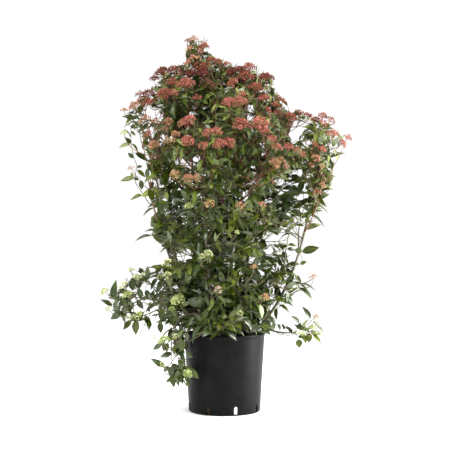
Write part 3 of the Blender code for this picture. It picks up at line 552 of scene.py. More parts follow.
leafShape = {
    "length": 0.056,
    "stalk": 0.009,
    "stalkRadius": 0.0006,
    "stalkDrop": 0.0007,     # of the stalk below the blade
    "stalkInBlade": 0.004,
    "thickness": 0.0005,
    # half width along the blade, as a share of the widest
    "outline": ((0.0, 0.0), (0.10, 0.50), (0.27, 0.90), (0.46, 1.0), (0.66, 0.80), (0.85, 0.40),
                (1.0, 0.0)),
    # width as a share of the length, fold along the midrib, droop of the blade and twist
    "kinds": ((0.47, 0.24, 0.12, 0.0), (0.51, 0.12, 0.28, 0.14), (0.43, 0.36, 0.18, -0.12),
              (0.54, 0.18, -0.05, 0.05), (0.38, 0.30, 0.30, 0.10), (0.33, 0.22, 0.16, -0.08),
              (0.40, 0.40, 0.42, 0.0), (0.76, 0.12, 0.06, 0.04)),
    "broadKinds": 4,         # the first of them, mostly low down
    "narrowKinds": 3,        # the next, mostly high up; the rest only where a leaf is listed
}


# a closed thin leaf along +X, its upper side towards +Z, from the foot of its stalk
def leafMesh(index, width, fold, droop, twist):
    shape = leafShape
    points, faces, marks, flat, rows = [], [], [], [], []
    length, half = shape["length"], shape["length"] * width / 2
    for along, wide in shape["outline"]:
        x, y, sag = shape["stalk"] + along * length, wide * half, -droop * length * along * along
        first = len(points)
        if wide == 0.0:
            points.append(Vector((x, 0, sag)))
            flat.append((along, 0.5))
            rows.append([first] * 4)
            continue
        lift, tilt = fold * y, twist * along * y
        points += [Vector((x, y, sag + lift + tilt)), Vector((x, 0, sag)),
                   Vector((x, -y, sag + lift - tilt)), Vector((x, 0, sag - shape["thickness"]))]
        flat += [(along, 0.5 + 0.5 * wide), (along, 0.5), (along, 0.5 - 0.5 * wide), (along, 0.5)]
        rows.append([first, first + 1, first + 2, first + 3])
    for low, high in zip(rows, rows[1:]):
        for a, b, side in ((0, 1, "top"), (1, 2, "top"), (2, 3, "under"), (3, 0, "under")):
            face = corners(low[a], high[a], high[b], low[b])
            if len(face) > 2:
                faces.append(face[::-1])
                marks.append(side)
    stalkFaces = rodFaces(len(points))
    for x in (0.0, shape["stalk"] + shape["stalkInBlade"]):
        points += ringPoints(Vector((x, 0, -shape["stalkDrop"])), Vector((0, 1, 0)), up,
                             shape["stalkRadius"], 3)
    flat += [(0.0, 0.5)] * 6
    faces += stalkFaces
    marks += ["stalk"] * len(stalkFaces)
    mesh = addMesh(f"leafShape{index}", points, faces)
    for part in ("under", "stalk"):
        marked = mesh.attributes.new(part, "BOOLEAN", "FACE")
        marked.data.foreach_set("value", [m == part for m in marks])
    blade = mesh.attributes.new("blade", "FLOAT2", "POINT")
    blade.data.foreach_set("vector", [v for pair in flat for v in pair])
    built = bmesh.new()
    built.from_mesh(mesh)
    bmesh.ops.recalc_face_normals(built, faces=built.faces)
    built.to_mesh(mesh)
    built.free()
    mesh.shade_smooth()
    mesh.set_sharp_from_angle(angle=math.radians(60))
    return mesh


headShape = {
    "width": 0.064,
    "height": 0.040,
    "fork": 0.22,            # height of the first fork, as a share of the head's
    "foot": 0.004,           # how far the stalk goes down into its shoot
    "stalkRadius": 0.0012,
    "rayRadius": 0.0008,
    "rings": ((1, 0.0), (4, 0.40), (7, 0.80)),     # clusters, and how far out they stand
    "clusterRadius": 0.0092,
    "clusterBuds": 14,
    "smallShare": 0.62,      # a head under this share of the full size has fewer clusters
    "smallRings": ((1, 0.0), (5, 0.78)),
    "smallBuds": 8,
    "smallCluster": 0.74,
    "smallKinds": 4,
    "budLength": 0.0056,
    "budWidth": 0.0044,
    "budSides": 5,
    "flowerWidth": 0.0075,
    "openShare": 0.34,       # of the buds that are flowers in an open head
    "kinds": 6,
}


# rays, as (from, to, radius), and buds, as (place, direction), of one head that opens to +Z
def headPlan(rng, small=False):
    shape = dict(headShape)
    if small:
        shape.update(width=shape["width"] * shape["smallShare"], height=shape["height"] * shape["smallShare"],
                     clusterRadius=shape["clusterRadius"] * shape["smallCluster"],
                     rings=shape["smallRings"], clusterBuds=shape["smallBuds"])
    fork = Vector((0, 0, shape["fork"] * shape["height"]))
    rays, buds = [(Vector((0, 0, -shape["foot"])), fork, shape["stalkRadius"])], []
    lopsided = Vector((rng.uniform(-0.12, 0.12), rng.uniform(-0.12, 0.12), 0))
    for count, far in shape["rings"]:
        turn = rng.uniform(0, 2 * math.pi)
        for ray in range(count):
            angle = turn + 2 * math.pi * (ray + rng.uniform(-0.28, 0.28)) / count
            out = far * rng.uniform(0.80, 1.08)
            place = Vector((out * math.cos(angle), out * math.sin(angle), 0)) + lopsided
            knot = 0.5 * (shape["width"] - shape["clusterRadius"]) * place
            knot.z = shape["height"] * (0.80 - 0.46 * place.length ** 1.6 + rng.uniform(-0.08, 0.06))
            lean = ((knot - fork).normalized() + 0.8 * up).normalized()
            rays.append((fork, knot, shape["rayRadius"]))
            radius = shape["clusterRadius"] * rng.uniform(0.75, 1.2)
            for bud in range(shape["clusterBuds"]):
                # spread evenly over the upper part of a ball
                tilt = math.acos(1 - 1.25 * (bud + 0.5) / shape["clusterBuds"])
                side = Quaternion(lean, 2.4 * bud + rng.uniform(-0.3, 0.3)) @ lean.orthogonal().normalized()
                way = math.cos(tilt) * lean + math.sin(tilt) * side
                buds.append((knot + radius * rng.uniform(0.70, 1.12) * way, way))
    return rays, buds


def rayMesh(name, rays):
    points, faces = [], []
    for low, high, radius in rays:
        way = (high - low).normalized()
        side = way.orthogonal().normalized()
        faces += rodFaces(len(points))
        for end in (low, high):
            points += ringPoints(end, side, way.cross(side), radius, 3)
    return addMesh(name, points, faces)


def budMesh(name, buds, rng):
    points, faces, sides = [], [], headShape["budSides"]
    length, width = headShape["budLength"], headShape["budWidth"]
    for place, way in buds:
        side = way.orthogonal().normalized()
        first, grown = len(points), rng.uniform(0.8, 1.2)
        middle = place + grown * way * 0.06 * length
        points.append(place - way * 0.5 * length * grown)
        points += ringPoints(middle, side, way.cross(side), 0.5 * grown * width, sides)
        points.append(place + way * 0.5 * length * grown)
        last = len(points) - 1
        for corner in range(sides):
            low, after = first + 1 + corner, first + 1 + (corner + 1) % sides
            faces += [(first, after, low), (low, after, last)]
    mesh = addMesh(name, points, faces)
    mesh.shade_smooth()
    return mesh


# open five-petalled flowers on some of the places of the buds, as thin closed plates
def flowerMesh(name, buds, rng):
    points, faces, width = [], [], headShape["flowerWidth"]
    for place, way in buds:
        if rng.random() > headShape["openShare"]:
            continue
        side = way.orthogonal().normalized()
        first = len(points)
        points += [place, place - way * 0.0006]
        petals = ringPoints(place + way * 0.0012, side, way.cross(side), 0.5 * width, 10)
        creases = ringPoints(place + way * 0.0002, side, way.cross(side), 0.17 * width, 10)
        for corner in range(10):
            points.append(creases[corner] if corner % 2 else petals[corner])
            a, b = first + 2 + corner, first + 2 + (corner + 1) % 10
            faces += [(first, a, b), (first + 1, b, a)]
    return addMesh(name, points, faces)


# where each stem and bough runs, and how thick it is
limbPlan = {
    "bareShare": 0.74,       # of a stem, below the mass that ends it
    "footSpread": 0.20,      # how far out a stem stands, as a share of its apex
    "footLift": 0.0003,
    "footRadius": 0.0068,
    "tipRadius": 0.0030,
    "boughFootRadius": 0.0048,
    "flare": 1.45,
    "flareHeight": 0.03,
    "sunk": 0.01,            # of the foot in the compost
    "step": 0.012,
}


def curvePoint(curve, share):
    back = 1.0 - share
    return back * back * curve[0] + 2 * back * share * curve[1] + share * share * curve[2]


def curveHeading(curve, share):
    return ((1 - share) * (curve[1] - curve[0]) + share * (curve[2] - curve[1])).normalized()


def arcLength(curve, first, last, steps=24):
    marks = [curvePoint(curve, first + (last - first) * i / steps) for i in range(steps + 1)]
    return sum((b - a).length for a, b in zip(marks, marks[1:]))


# name to (curve, bare share, foot radius) of every stem and bough
def limbCurves():
    plan, found = limbPlan, {}
    for name, (apex, sweep, rise) in stems.items():
        apex = Vector(apex)
        foot = Vector((apex.x * plan["footSpread"], apex.y * plan["footSpread"],
                       soilLevel + plan["footLift"]))
        way = apex - foot
        bend = foot + Vector((way.x * sweep, way.y * sweep, way.z * rise))
        found[name] = ((foot, bend, apex), plan["bareShare"], plan["footRadius"])
    for name, (carrier, share, bend, apex, bareShare) in boughs.items():
        foot = curvePoint(found[carrier][0], share)
        found[name] = ((foot, Vector(bend), Vector(apex)), bareShare, plan["boughFootRadius"])
    return found


# the place at a depth that is seen at this square of the grid
def onGrid(across, down, depth):
    scale = (eyeDistance + depth) / eyeDistance
    return Vector((eyeAcross + (across - gridMiddle) * gridStep * scale, depth,
                   eyeLevel - (down - gridMiddle) * gridStep * scale))


# the square of the grid at which a place is seen
def seenAt(point):
    scale = eyeDistance / (eyeDistance + point.y) / gridStep
    return (gridMiddle + (point.x - eyeAcross) * scale, gridMiddle - (point.z - eyeLevel) * scale)


def inGap(point, wider=1.0):
    across, down = seenAt(point)
    return any((across - a) ** 2 + (down - d) ** 2 < (r + wider) ** 2 for a, d, r in gaps)


# whether a point lies within the crown's outline
def inReach(point):
    scale = eyeDistance / (eyeDistance + point.y)
    across = eyeAcross + (point.x - eyeAcross) * scale
    level = eyeLevel + (point.z - eyeLevel) * scale
    if point.y < 0 and level < potWindow[2] and potWindow[0] < across < potWindow[1]:
        return False
    for low, high in zip(reach, reach[1:]):
        if low[0] <= level <= high[0]:
            share = (level - low[0]) / (high[0] - low[0])
            left = low[1] + (high[1] - low[1]) * share
            right = low[2] + (high[2] - low[2]) * share
            return left <= across <= right
    return False


class Space:     # the long round room that a mass keeps to
    def __init__(self, foot, apex, spread):
        self.centre, self.axis = foot.lerp(apex, 0.56), (apex - foot).normalized()
        self.halfLength, self.halfWidth = 0.5 * (apex - foot).length + 0.35 * spread, spread

    def depthOf(self, point, margin=0.0):     # 0 at the middle and 1 on the skin
        off = point - self.centre
        along = off.dot(self.axis)
        across = (off - along * self.axis).length
        return math.hypot(along / (self.halfLength - margin), across / (self.halfWidth - margin))

    def holds(self, point, margin=0.0, over=1.0):
        return self.depthOf(point, margin) <= over


class Sleeve:     # the room about a lower stem, where only short shoots stand
    lowest = 0.285

    def holds(self, point, margin=0.0, over=1.0):
        return point.z > self.lowest + margin


class Growth:     # what has grown so far: runs of wood, leaves by tint and heads by tint
    def __init__(self, obstacles, limbMarks):
        self.obstacles, self.limbMarks = obstacles, limbMarks
        self.wood, self.redShoots, self.greenShoots = [], [], []
        self.leaves, self.heads, self.headPlaces = {}, {}, []
        self.placed, self.stalks = [], []     # of what is set one by one: where it is seen, and its shoots

    # whether a leaf would leave the gaps, and what is set one by one, in view
    def free(self, root, tip):
        middle = root.lerp(tip, 0.6)
        if inGap(tip) or inGap(middle):
            return False
        across, down = seenAt(middle)
        tipAcross, tipDown = seenAt(tip)
        for centre, radius, seenAcross, seenDown in self.placed:
            if min((centre - middle).length, (centre - tip).length) < 0.85 * radius:
                return False
            if middle.y < centre.y and min(
                    math.hypot(across - seenAcross, down - seenDown),
                    math.hypot(tipAcross - seenAcross, tipDown - seenDown)) < 0.95 * radius / gridStep:
                return False
        return True

    def clear(self, low, high):     # of the pot and the soil
        way = high - low
        far = way.length
        return far == 0 or not any(tree.ray_cast(low, way / far, far)[0] for tree in self.obstacles)

    def marks(self):
        runs = self.wood + self.redShoots + self.greenShoots
        return [place for run in runs for place, _ in run]

    def addShoot(self, run, redAbove=math.inf):
        (self.redShoots if run[-1][0].z > redAbove else self.greenShoots).append(run)


# turn that lays +X along way and +Z along normal, as near as it can
def turnOf(way, normal):
    side = normal.cross(way).normalized()
    return Matrix((way, side, way.cross(side))).transposed().to_quaternion()


def jitter(size, rng):
    return Vector([rng.uniform(-size, size) for _ in range(3)])


# a name picked by weight
def mostlyBy(rng, weights):
    mark = rng.uniform(0, sum(weights.values()))
    for name, weight in weights.items():
        mark -= weight
        if mark <= 0:
            return name
    return name


# a direction square to the heading, turned about it
def sideways(heading, turn):
    return Quaternion(heading, turn) @ heading.orthogonal().normalized()


# tints of the leaves by part of the crown, then by mass
topLeaves = {"olive": 0.32, "mid": 0.38, "fresh": 0.26, "grey": 0.01, "flushed": 0.03}
edgeLeaves = {"olive": 0.18, "mid": 0.34, "fresh": 0.44, "grey": 0.04}
leftLeaves = {"deep": 0.32, "olive": 0.40, "mid": 0.18, "fresh": 0.08, "grey": 0.02}
waistLeaves = {"deep": 0.40, "olive": 0.34, "mid": 0.18, "fresh": 0.05, "grey": 0.03}
lowLeaves = {"deep": 0.52, "olive": 0.14, "mid": 0.16, "fresh": 0.02, "grey": 0.16}
usualLeaves = {"deep": 0.30, "olive": 0.38, "mid": 0.20, "fresh": 0.08, "grey": 0.04}
leafTints = {name: lowLeaves for name, (_, _, apex, _, _) in sprays.items() if apex[2] < 0.75}
for tints, names in ((topLeaves, ("spire", "top_left", "top_middle", "top_right", "high_right", "high_front",
                                  "high_rear_left", "high_rear_right", "top_heart", "top_heart_left")),
                     (edgeLeaves, ("right_lobe", "right_tip", "right_flank", "right_spray", "right_arm")),
                     (leftLeaves, ("left", "left_flank", "high_left", "shoulder_front_left")),
                     (waistLeaves, ("right_waist", "right_inner_low")),
                     (lowLeaves, ("left_arm", "left_hanging", "rim_left", "rim_right", "front_heart",
                                  "right_fan"))):
    leafTints.update(dict.fromkeys(names, tints))
# painted shade: darker tints for leaves within a radius of the middle and below a height, where the inside of
# the crown lies in shade, from the innermost out
paintedShadeInside = ((0.13, 1.00, "shaded"), (0.21, 1.08, "deep"))
# tints of the heads above a height, then by mass
headsAbove = ((1.08, {"maroon": 0.25, "brick": 0.55, "rose": 0.2}),
              (0.94, {"brick": 0.45, "rose": 0.4, "salmon": 0.15}),
              (0.80, {"rose": 0.35, "salmon": 0.65}),
              (0.64, {"salmon": 0.35, "cream": 0.65}),
              (0.00, {"cream": 0.2, "lime": 0.8}))
headTints = {
    "spire": {"brick": 0.4, "salmon": 0.6},
    "top_left": {"maroon": 0.75, "brick": 0.25},
    "top_middle": {"maroon": 0.5, "brick": 0.5},
    "top_right": {"maroon": 0.5, "brick": 0.5},
    "high_right": {"maroon": 0.4, "brick": 0.5, "rose": 0.1},
    "high_front": {"brick": 0.5, "rose": 0.5},
    "high_left": {"brick": 0.25, "salmon": 0.75},
    "high_front_left": {"brick": 0.5, "rose": 0.25, "salmon": 0.25},
    "left": {"salmon": 0.7, "rose": 0.3},
    "right_lobe": {"brick": 0.55, "rose": 0.45},
    "right_tip": {"rose": 0.5, "brick": 0.5},
    "right_waist": {"salmon": 0.6, "orange": 0.4},
}
# how often a shoot that ends above a height bears a head, and how often lower down
headChances = ((1.13, 0.62), (1.02, 0.46), (0.92, 0.30), (0.80, 0.10), (0.56, 0.03))
lowHeads = {"leftOf": -0.12, "left": 0.22, "right": 0.06}


def above(rows, level):
    return next((value for height, value in rows if level > height), None)


# painted shade: a leaf deep inside the crown takes a darker tint in place of its own mix
def tintAt(point, tints, rng):
    for radius, level, tint in paintedShadeInside:
        if point.xy.length < radius * rng.uniform(0.7, 1.15) and point.z < level:
            return tint
    return mostlyBy(rng, tints)


def headChance(point):
    side = "left" if point.x < lowHeads["leftOf"] else "right"
    return above(headChances, point.z) or lowHeads[side]


# where a head stands, how it is turned, its size and which of the shapes it takes
def headSpot(foot, way, size, rng):
    side = sideways(way, rng.uniform(0, 2 * math.pi))
    if size < headShape["smallShare"]:
        pick = headShape["kinds"] + rng.randrange(headShape["smallKinds"])
        return (foot, turnOf(side, way), size / headShape["smallShare"], pick)
    return (foot, turnOf(side, way), size, rng.randrange(headShape["kinds"]))


leafHabit = {     # how a leaf stands on its shoot
    "scatter": 0.26,         # how far it turns from the way it should point
    "droop": 0.34,
    "droopSpread": (0.2, 1.4),
    "roll": 0.70,
    "narrowAbove": 0.80,     # most leaves above this height are narrow, and most below it broad
    "usualShare": 0.25,
    "edgeOn": 0.93,          # no leaf lies closer than this to the way its face looks
    "bladeFrom": 0.012,      # its stalk may touch the soil or the rim
    "over": 1.08,            # how far past the room of its mass it may reach, as a share of it
}
headHabit = {     # how a head that isn't listed stands on its shoot
    "room": 0.040,           # between its foot and the outline
    "half": 0.022,           # and to either side
    "frontFrom": -0.02,      # most of the front's are listed
    "frontShare": 0.8,
    "gapRoom": 3.0,
    "apart": 0.042,
    "lift": 0.55,
    "scatter": 0.28,
    "outward": 0.3,
}


def addLeaf(crown, space, root, way, size, tint, rng):
    habit, broad = leafHabit, leafShape["broadKinds"]
    way = way + jitter(habit["scatter"], rng)
    way = (way - habit["droop"] * rng.uniform(*habit["droopSpread"]) * up).normalized()
    normal = (up + jitter(habit["roll"], rng)).normalized()
    narrow = (root.z > habit["narrowAbove"]) == (rng.random() > habit["usualShare"])
    kind = rng.randrange(broad, broad + leafShape["narrowKinds"]) if narrow else rng.randrange(broad)
    tip = root + way * (leafShape["length"] + leafShape["stalk"]) * size
    if abs(normal.dot(way)) > habit["edgeOn"] or not crown.clear(root + way * habit["bladeFrom"], tip):
        return
    if space.holds(tip, over=habit["over"]) and inReach(tip) and crown.free(root, tip):
        crown.leaves.setdefault(tint, []).append((root, turnOf(way, normal), size, kind))


def addHead(crown, name, place, way, size, rng):
    habit = headHabit
    top, half = place + up * habit["room"] * size, Vector((habit["half"] * size, 0, 0))
    if not (inReach(top - half) and inReach(top + half)):
        return False
    if place.y < habit["frontFrom"] and rng.random() < habit["frontShare"]:
        return False
    if inGap(place + 0.5 * (top - place), habit["gapRoom"]):
        return False
    if any((other - place).length < habit["apart"] * size for other in crown.headPlaces):
        return False
    way = (way + habit["lift"] * up + jitter(habit["scatter"], rng)
           + habit["outward"] * Vector((place.x, place.y, 0))).normalized()
    tint = mostlyBy(rng, headTints.get(name) or above(headsAbove, place.z))
    crown.heads.setdefault(tint, []).append(headSpot(place, way, size, rng))
    crown.headPlaces.append(place)
    return True


placedHead = {     # how a listed head finds its depth and its tilt
    "nearest": -0.42,
    "depthStep": 0.01,
    "depths": 62,
    "skin": 0.97,            # it stands where it comes this close to the skin of a mass
    "swell": 1.12,           # buds fill less than the whole of its width
    "highFrom": 1.15,
    "lean": (1.0, 1.7),      # outward, above that height and below it
    "scatter": 0.26,
}


# a head at its own place on the crown's front; its shoot is grown later
def placeHead(crown, tint, across, down, width, rng):
    plan, best = placedHead, None
    radius = 0.5 * width * gridStep
    size = 2 * radius / headShape["width"] * plan["swell"]
    for step in range(plan["depths"]):
        point = onGrid(across, down, plan["nearest"] + plan["depthStep"] * step)
        name = min(spaces, key=lambda n: spaces[n].depthOf(point))
        value = spaces[name].depthOf(point)
        if best is None or value < best[0]:
            best = (value, name, point)
        if value <= plan["skin"]:
            break
    _, name, centre = best
    out = Vector((centre.x * 0.6, centre.y - 0.12, 0))
    lean = plan["lean"][0] if centre.z > plan["highFrom"] else plan["lean"][1]
    way = (up + lean * out + jitter(plan["scatter"], rng)).normalized()
    foot = centre - way * 0.5 * headShape["height"] * size
    crown.placed.append((centre, radius, across, down))
    crown.headPlaces.append(foot)
    crown.heads.setdefault(tint, []).append(headSpot(foot, way, size, rng))
    crown.stalks.append((name, foot, way))


stalkPlan = {     # the shoot under a listed head
    "radius": 0.0018,
    "taper": 0.0006,
    "step": 0.02,
    "redAbove": 0.8,
    "choices": 60,           # places on the leading shoots that it may start from
    "fallCost": 0.8,         # how much worse a start above the head is than one below
    "rise": 0.03,
    "bend": 0.45,
    "firstLeaf": 0.010,
    "leafShare": 0.75,
    "leafStep": (0.02, 0.032),
}


# the shoot under a placed head, from the nearest leading shoot, with its upper leaves
def growStalk(crown, name, foot, way, rng):
    plan = stalkPlan
    marks = [p for run in crown.wood for p, _ in run] + crown.limbMarks
    near = sorted(marks, key=lambda p: (p - foot).length
                  + plan["fallCost"] * max(0.0, p.z + plan["rise"] - foot.z))[:plan["choices"]]

    def lineFrom(start):
        return (start, foot - way * plan["bend"] * (foot - start).length, foot)

    def stays(start):
        line = lineFrom(start)
        return crown.clear(start, foot) and all(inReach(curvePoint(line, share)) for share in (0.2, 0.5, 0.8))

    line = lineFrom(next((p for p in near if stays(p)), near[0]))
    length = (foot - line[0]).length
    steps = max(4, int(length / plan["step"]))
    crown.addShoot([(curvePoint(line, i / steps), plan["radius"] - plan["taper"] * i / steps)
                    for i in range(steps + 1)], plan["redAbove"])
    tint = mostlyBy(rng, leafTints.get(name, usualLeaves))
    roll, back = rng.uniform(0, math.pi), plan["firstLeaf"]
    while back < plan["leafShare"] * length:
        point, heading = curvePoint(line, 1 - back / length), curveHeading(line, 1 - back / length)
        side = sideways(heading, roll)
        for hand in (1, -1):
            addLeaf(crown, spaces[name], point, (hand * side + 0.6 * heading).normalized(),
                    rng.uniform(0.55, 0.8) + min(0.4, 4 * back), tint, rng)
        roll += math.pi / 2 + rng.uniform(-0.2, 0.2)
        back += rng.uniform(*plan["leafStep"])


def smoothRun(points, steps=5):
    ends = [2 * points[0] - points[1]] + points + [2 * points[-1] - points[-2]]
    line = []
    for a, b, c, d in zip(ends, ends[1:], ends[2:], ends[3:]):
        for i in range(steps):
            t = i / steps
            line.append(0.5 * (2 * b + (c - a) * t + (2 * a - 5 * b + 4 * c - d) * t * t
                               + (3 * b - a - 3 * c + d) * t ** 3))
    return line + [points[-1]]


clearPlan = {     # shoots and leaves that are listed one by one
    "radius": 0.0024,
    "taper": 0.0011,
    "joined": 0.004,         # a shoot that starts within this of other wood needs no more
    "shownWidth": 5.5,       # a leaf that looks this wide or wider is kept in view
    "shownShare": 0.32,
    "leastWidth": 0.40,
    "twigRadius": 0.0011,
    "twigTaper": 0.0003,
    "twigFrom": 0.006,       # a leaf further than this from any wood gets a twig of its own
    "twigStep": 0.015,
}


# a bare shoot that stands clear of the rest, from the nearest wood
def growClear(crown, depth, places):
    plan = clearPlan
    points = [onGrid(across, down, depth) for across, down in places]
    near = min(crown.marks() + crown.limbMarks, key=lambda p: (p - points[0]).length)
    if (near - points[0]).length > plan["joined"]:
        points.insert(0, near)
    line = smoothRun(points)
    crown.addShoot([(p, plan["radius"] - plan["taper"] * i / len(line)) for i, p in enumerate(line)])


# keeps the room in front of a wide listed leaf
def keepShown(crown, depth, row):
    footAcross, footDown, tipAcross, tipDown, width, _ = row
    if width >= clearPlan["shownWidth"]:
        across, down = 0.5 * (footAcross + tipAcross), 0.5 * (footDown + tipDown)
        length = math.hypot(tipAcross - footAcross, tipDown - footDown)
        radius = clearPlan["shownShare"] * length * gridStep
        crown.placed.append((onGrid(across, down, depth), radius, across, down))


# a leaf between two places, turned so that it looks as wide as it should, on a twig if need be
def setLeaf(crown, wood, depth, row, rng):
    plan, kinds = clearPlan, leafShape["kinds"]
    footAcross, footDown, tipAcross, tipDown, width, tint = row
    foot = onGrid(footAcross, footDown, depth + rng.uniform(-0.01, 0.01))
    tip = onGrid(tipAcross, tipDown, depth + rng.uniform(-0.02, 0.01))
    way, length = (tip - foot).normalized(), (tip - foot).length
    size, shown = length / leafShape["length"], width * gridStep / length
    kind = min(range(len(kinds)), key=lambda k: abs(max(shown, plan["leastWidth"]) - kinds[k][0]))
    facing = Vector((0, -1, 0))
    facing = (facing - way * facing.dot(way)).normalized()
    side = way.cross(facing)
    side = side if side.z > 0 else -side
    share = min(1.0, shown / kinds[kind][0])
    normal = (share * facing + math.sqrt(1 - share * share) * side).normalized()
    root = foot - way * leafShape["stalk"] * size
    near, _, gap = wood.find(root)
    if gap > plan["twigFrom"]:
        line = (near, near.lerp(root, 0.6) - way * 0.3 * gap, root)
        steps = max(3, int(gap / plan["twigStep"]))
        crown.addShoot([(curvePoint(line, i / steps), plan["twigRadius"] - plan["twigTaper"] * i / steps)
                        for i in range(steps + 1)])
    crown.leaves.setdefault(tint, []).append((root, turnOf(way, normal), size, kind))


shootPlan = {     # side shoots, and the twigs in the axils of their leaves
    "radius": 0.0016,
    "tip": 0.0010,
    "twigRadius": 0.75,      # as a share of the shoot's
    "leafStep": 0.0225,      # metres between pairs of leaves
    "twigChance": 0.30,
    "twigLeast": 0.05,       # length of a shoot that can bear twigs
    "least": 0.018,
    "tries": 8,              # at a shorter length each time, before it is given up
    "shorter": 0.84,
    "margin": 0.012,         # kept free inside the room of a mass
    "risesAbove": 0.45,      # shoots turn up above this height and hang below it
    "rise": ((-0.25, 0.15), (0.05, 0.35)),
    "redAbove": 0.86,
    "fullHeads": 0.9,        # heads are full size above this height
    "steps": 5,
}


# a side shoot with crossed pairs of leaves, twigs in some of their axils, and maybe a head
def growShoot(crown, name, space, root, way, length, radius, rng, order=1, leafSize=1.0):
    plan, steps = shootPlan, shootPlan["steps"]
    tint = tintAt(root + way * length, leafTints.get(name, usualLeaves), rng)
    lift = rng.uniform(*plan["rise"][root.z > plan["risesAbove"]])
    for _ in range(plan["tries"]):
        end = root + way * length + up * lift * length
        bend = root + way * length * 0.55
        if (space.holds(end, plan["margin"]) and inReach(end) and not inGap(end, 0.0)
                and crown.clear(bend, end)):
            break
        length *= plan["shorter"]
        way = (way + jitter(0.10, rng)).normalized()
    else:
        return
    if length < plan["least"]:
        return
    run = [curvePoint((root, bend, end), i / steps) for i in range(steps + 1)]
    crown.addShoot([(p, radius + (plan["tip"] - radius) * i / steps) for i, p in enumerate(run)],
                   plan["redAbove"])
    roll = rng.uniform(0, math.pi)
    pairs = max(1, int(length / plan["leafStep"]))
    for pair in range(pairs):
        share = (pair + 0.75) / (pairs + 0.35)
        place = min(int(share * steps), steps - 1)
        point = run[place].lerp(run[place + 1], share * steps - place)
        heading = (run[place + 1] - run[place]).normalized()
        side = heading.cross(up)
        side = side.normalized() if side.length > 0.05 else heading.orthogonal().normalized()
        side = Quaternion(heading, roll) @ side
        size = leafSize * rng.uniform(0.72, 1.18) * (1.0 - 0.30 * share)
        for hand in (1, -1):
            addLeaf(crown, space, point, (hand * side + 0.75 * heading).normalized(), size, tint, rng)
            if order < 2 and length > plan["twigLeast"] and rng.random() < plan["twigChance"]:
                out = (0.8 * hand * side + heading).normalized()
                growShoot(crown, name, space, point, out, length * rng.uniform(0.35, 0.6),
                          radius * plan["twigRadius"], rng, order + 1, leafSize)
        roll += math.pi / 2 + rng.uniform(-0.25, 0.25)
    endWay = (run[-1] - run[-2]).normalized()
    blooms = rng.random() < headChance(end) * (1.0 if order == 1 else 0.4)
    size = rng.uniform(0.66, 1.06) * (1.0 if end.z > plan["fullHeads"] else 0.72)
    if not (blooms and addHead(crown, name, end, endWay, size, rng)):
        side = sideways(endWay, roll)
        for hand in (1, -1):
            addLeaf(crown, space, end, (0.5 * hand * side + endWay).normalized(),
                    leafSize * rng.uniform(0.5, 0.9), tint, rng)


massPlan = {     # the leading shoot of a mass
    "seed": 23,
    "radius": 0.0028,
    "tip": 0.0014,
    "step": 0.02,
    "tipRoom": 0.022,        # between the end of the shoot and the apex
    "pairStep": 0.036,
    "shootChance": 0.84,
    "shootAngle": (34, 62),
    "longestShoot": 0.16,
    "leafSize": 0.90,
    "redAbove": 0.60,
    # how full a mass is, and how large its leaves are, beside the usual
    "fullness": {"right_tip": 0.8, "right_lobe": 0.9, "right_flank": 0.75, "right_waist": 0.8,
                 "right_spray": 0.5, "left_arm": 0.6, "left_arm_low": 0.5, "left_arm_top": 0.5,
                 "left_hanging": 0.8, "left_flank": 0.9, "high_left": 1.05,
                 "shoulder_front_left": 1.3, "waist_front_left": 1.3, "right_arm": 0.0},
    "leafSizes": {"right_lobe": 1.06, "right_tip": 1.06, "right_flank": 1.08, "right_waist": 1.08,
                  "left_arm": 1.15, "left_arm_low": 1.15, "left_arm_top": 1.1, "left_hanging": 1.2,
                  "low_left": 1.15, "front_rim": 1.1, "waist_front": 1.1, "left_flank": 1.06,
                  "left": 1.06, "waist_front_left": 1.08, "shoulder_front_left": 1.06,
                  "low_front_right": 1.1, "right_arm": 0.9},
}


# the leading shoot of a mass, from its carrier to its apex, and all that stands on it
def growMass(crown, name, curve, start, spread, rng):
    plan, tints = massPlan, leafTints.get(name, usualLeaves)
    full, sizes = plan["fullness"].get(name, 1.0), plan["leafSize"] * plan["leafSizes"].get(name, 1.0)
    space = Space(curvePoint(curve, start), curve[2], spread)
    length = arcLength(curve, start, 1.0)
    last = 1.0 - (1.0 - start) * plan["tipRoom"] / length
    steps, run = max(6, int(length / plan["step"])), []
    for i in range(steps + 1):
        point = curvePoint(curve, start + (last - start) * i / steps)
        if i > 2 and not inReach(point + up * 0.02):
            break
        run.append((point, plan["radius"] + (plan["tip"] - plan["radius"]) * i / steps))
    last = start + (last - start) * (len(run) - 1) / steps
    crown.wood.append(run)
    pairs = max(3, int(full * length / plan["pairStep"]))
    roll = rng.uniform(0, math.pi)
    for pair in range(pairs):
        step = (pair + 0.5) / pairs
        share = start + (last - start) * step
        root, heading = curvePoint(curve, share), curveHeading(curve, share)
        tint = tintAt(root, tints, rng)
        for hand in (0.0, math.pi):
            out = sideways(heading, roll + hand)
            addLeaf(crown, space, root, (out + 0.5 * heading).normalized(),
                    sizes * rng.uniform(0.9, 1.2), tint, rng)
            if rng.random() < plan["shootChance"] * full:
                angle = math.radians(rng.uniform(*plan["shootAngle"]))
                way = (math.cos(angle) * heading + math.sin(angle) * out).normalized()
                far = spread * rng.uniform(0.75, 1.15) * (1.15 - 0.55 * step) / math.sin(angle)
                growShoot(crown, name, space, root, way, min(far, plan["longestShoot"]),
                          shootPlan["radius"], rng, leafSize=sizes)
        roll += math.pi / 2 + rng.uniform(-0.2, 0.2)
    end, endWay = run[-1][0], curveHeading(curve, last)
    size = rng.uniform(0.9, 1.2) * (1.0 if curve[2].z > shootPlan["fullHeads"] else 0.75)
    blooms = rng.random() < max(0.3, 1.6 * headChance(curve[2]))
    if not (blooms and addHead(crown, name, end, endWay, size, rng)):
        for hand in (1, -1):
            side = endWay.orthogonal().normalized() * hand
            addLeaf(crown, space, end, (0.5 * side + endWay).normalized(), 0.9,
                    mostlyBy(rng, tints), rng)


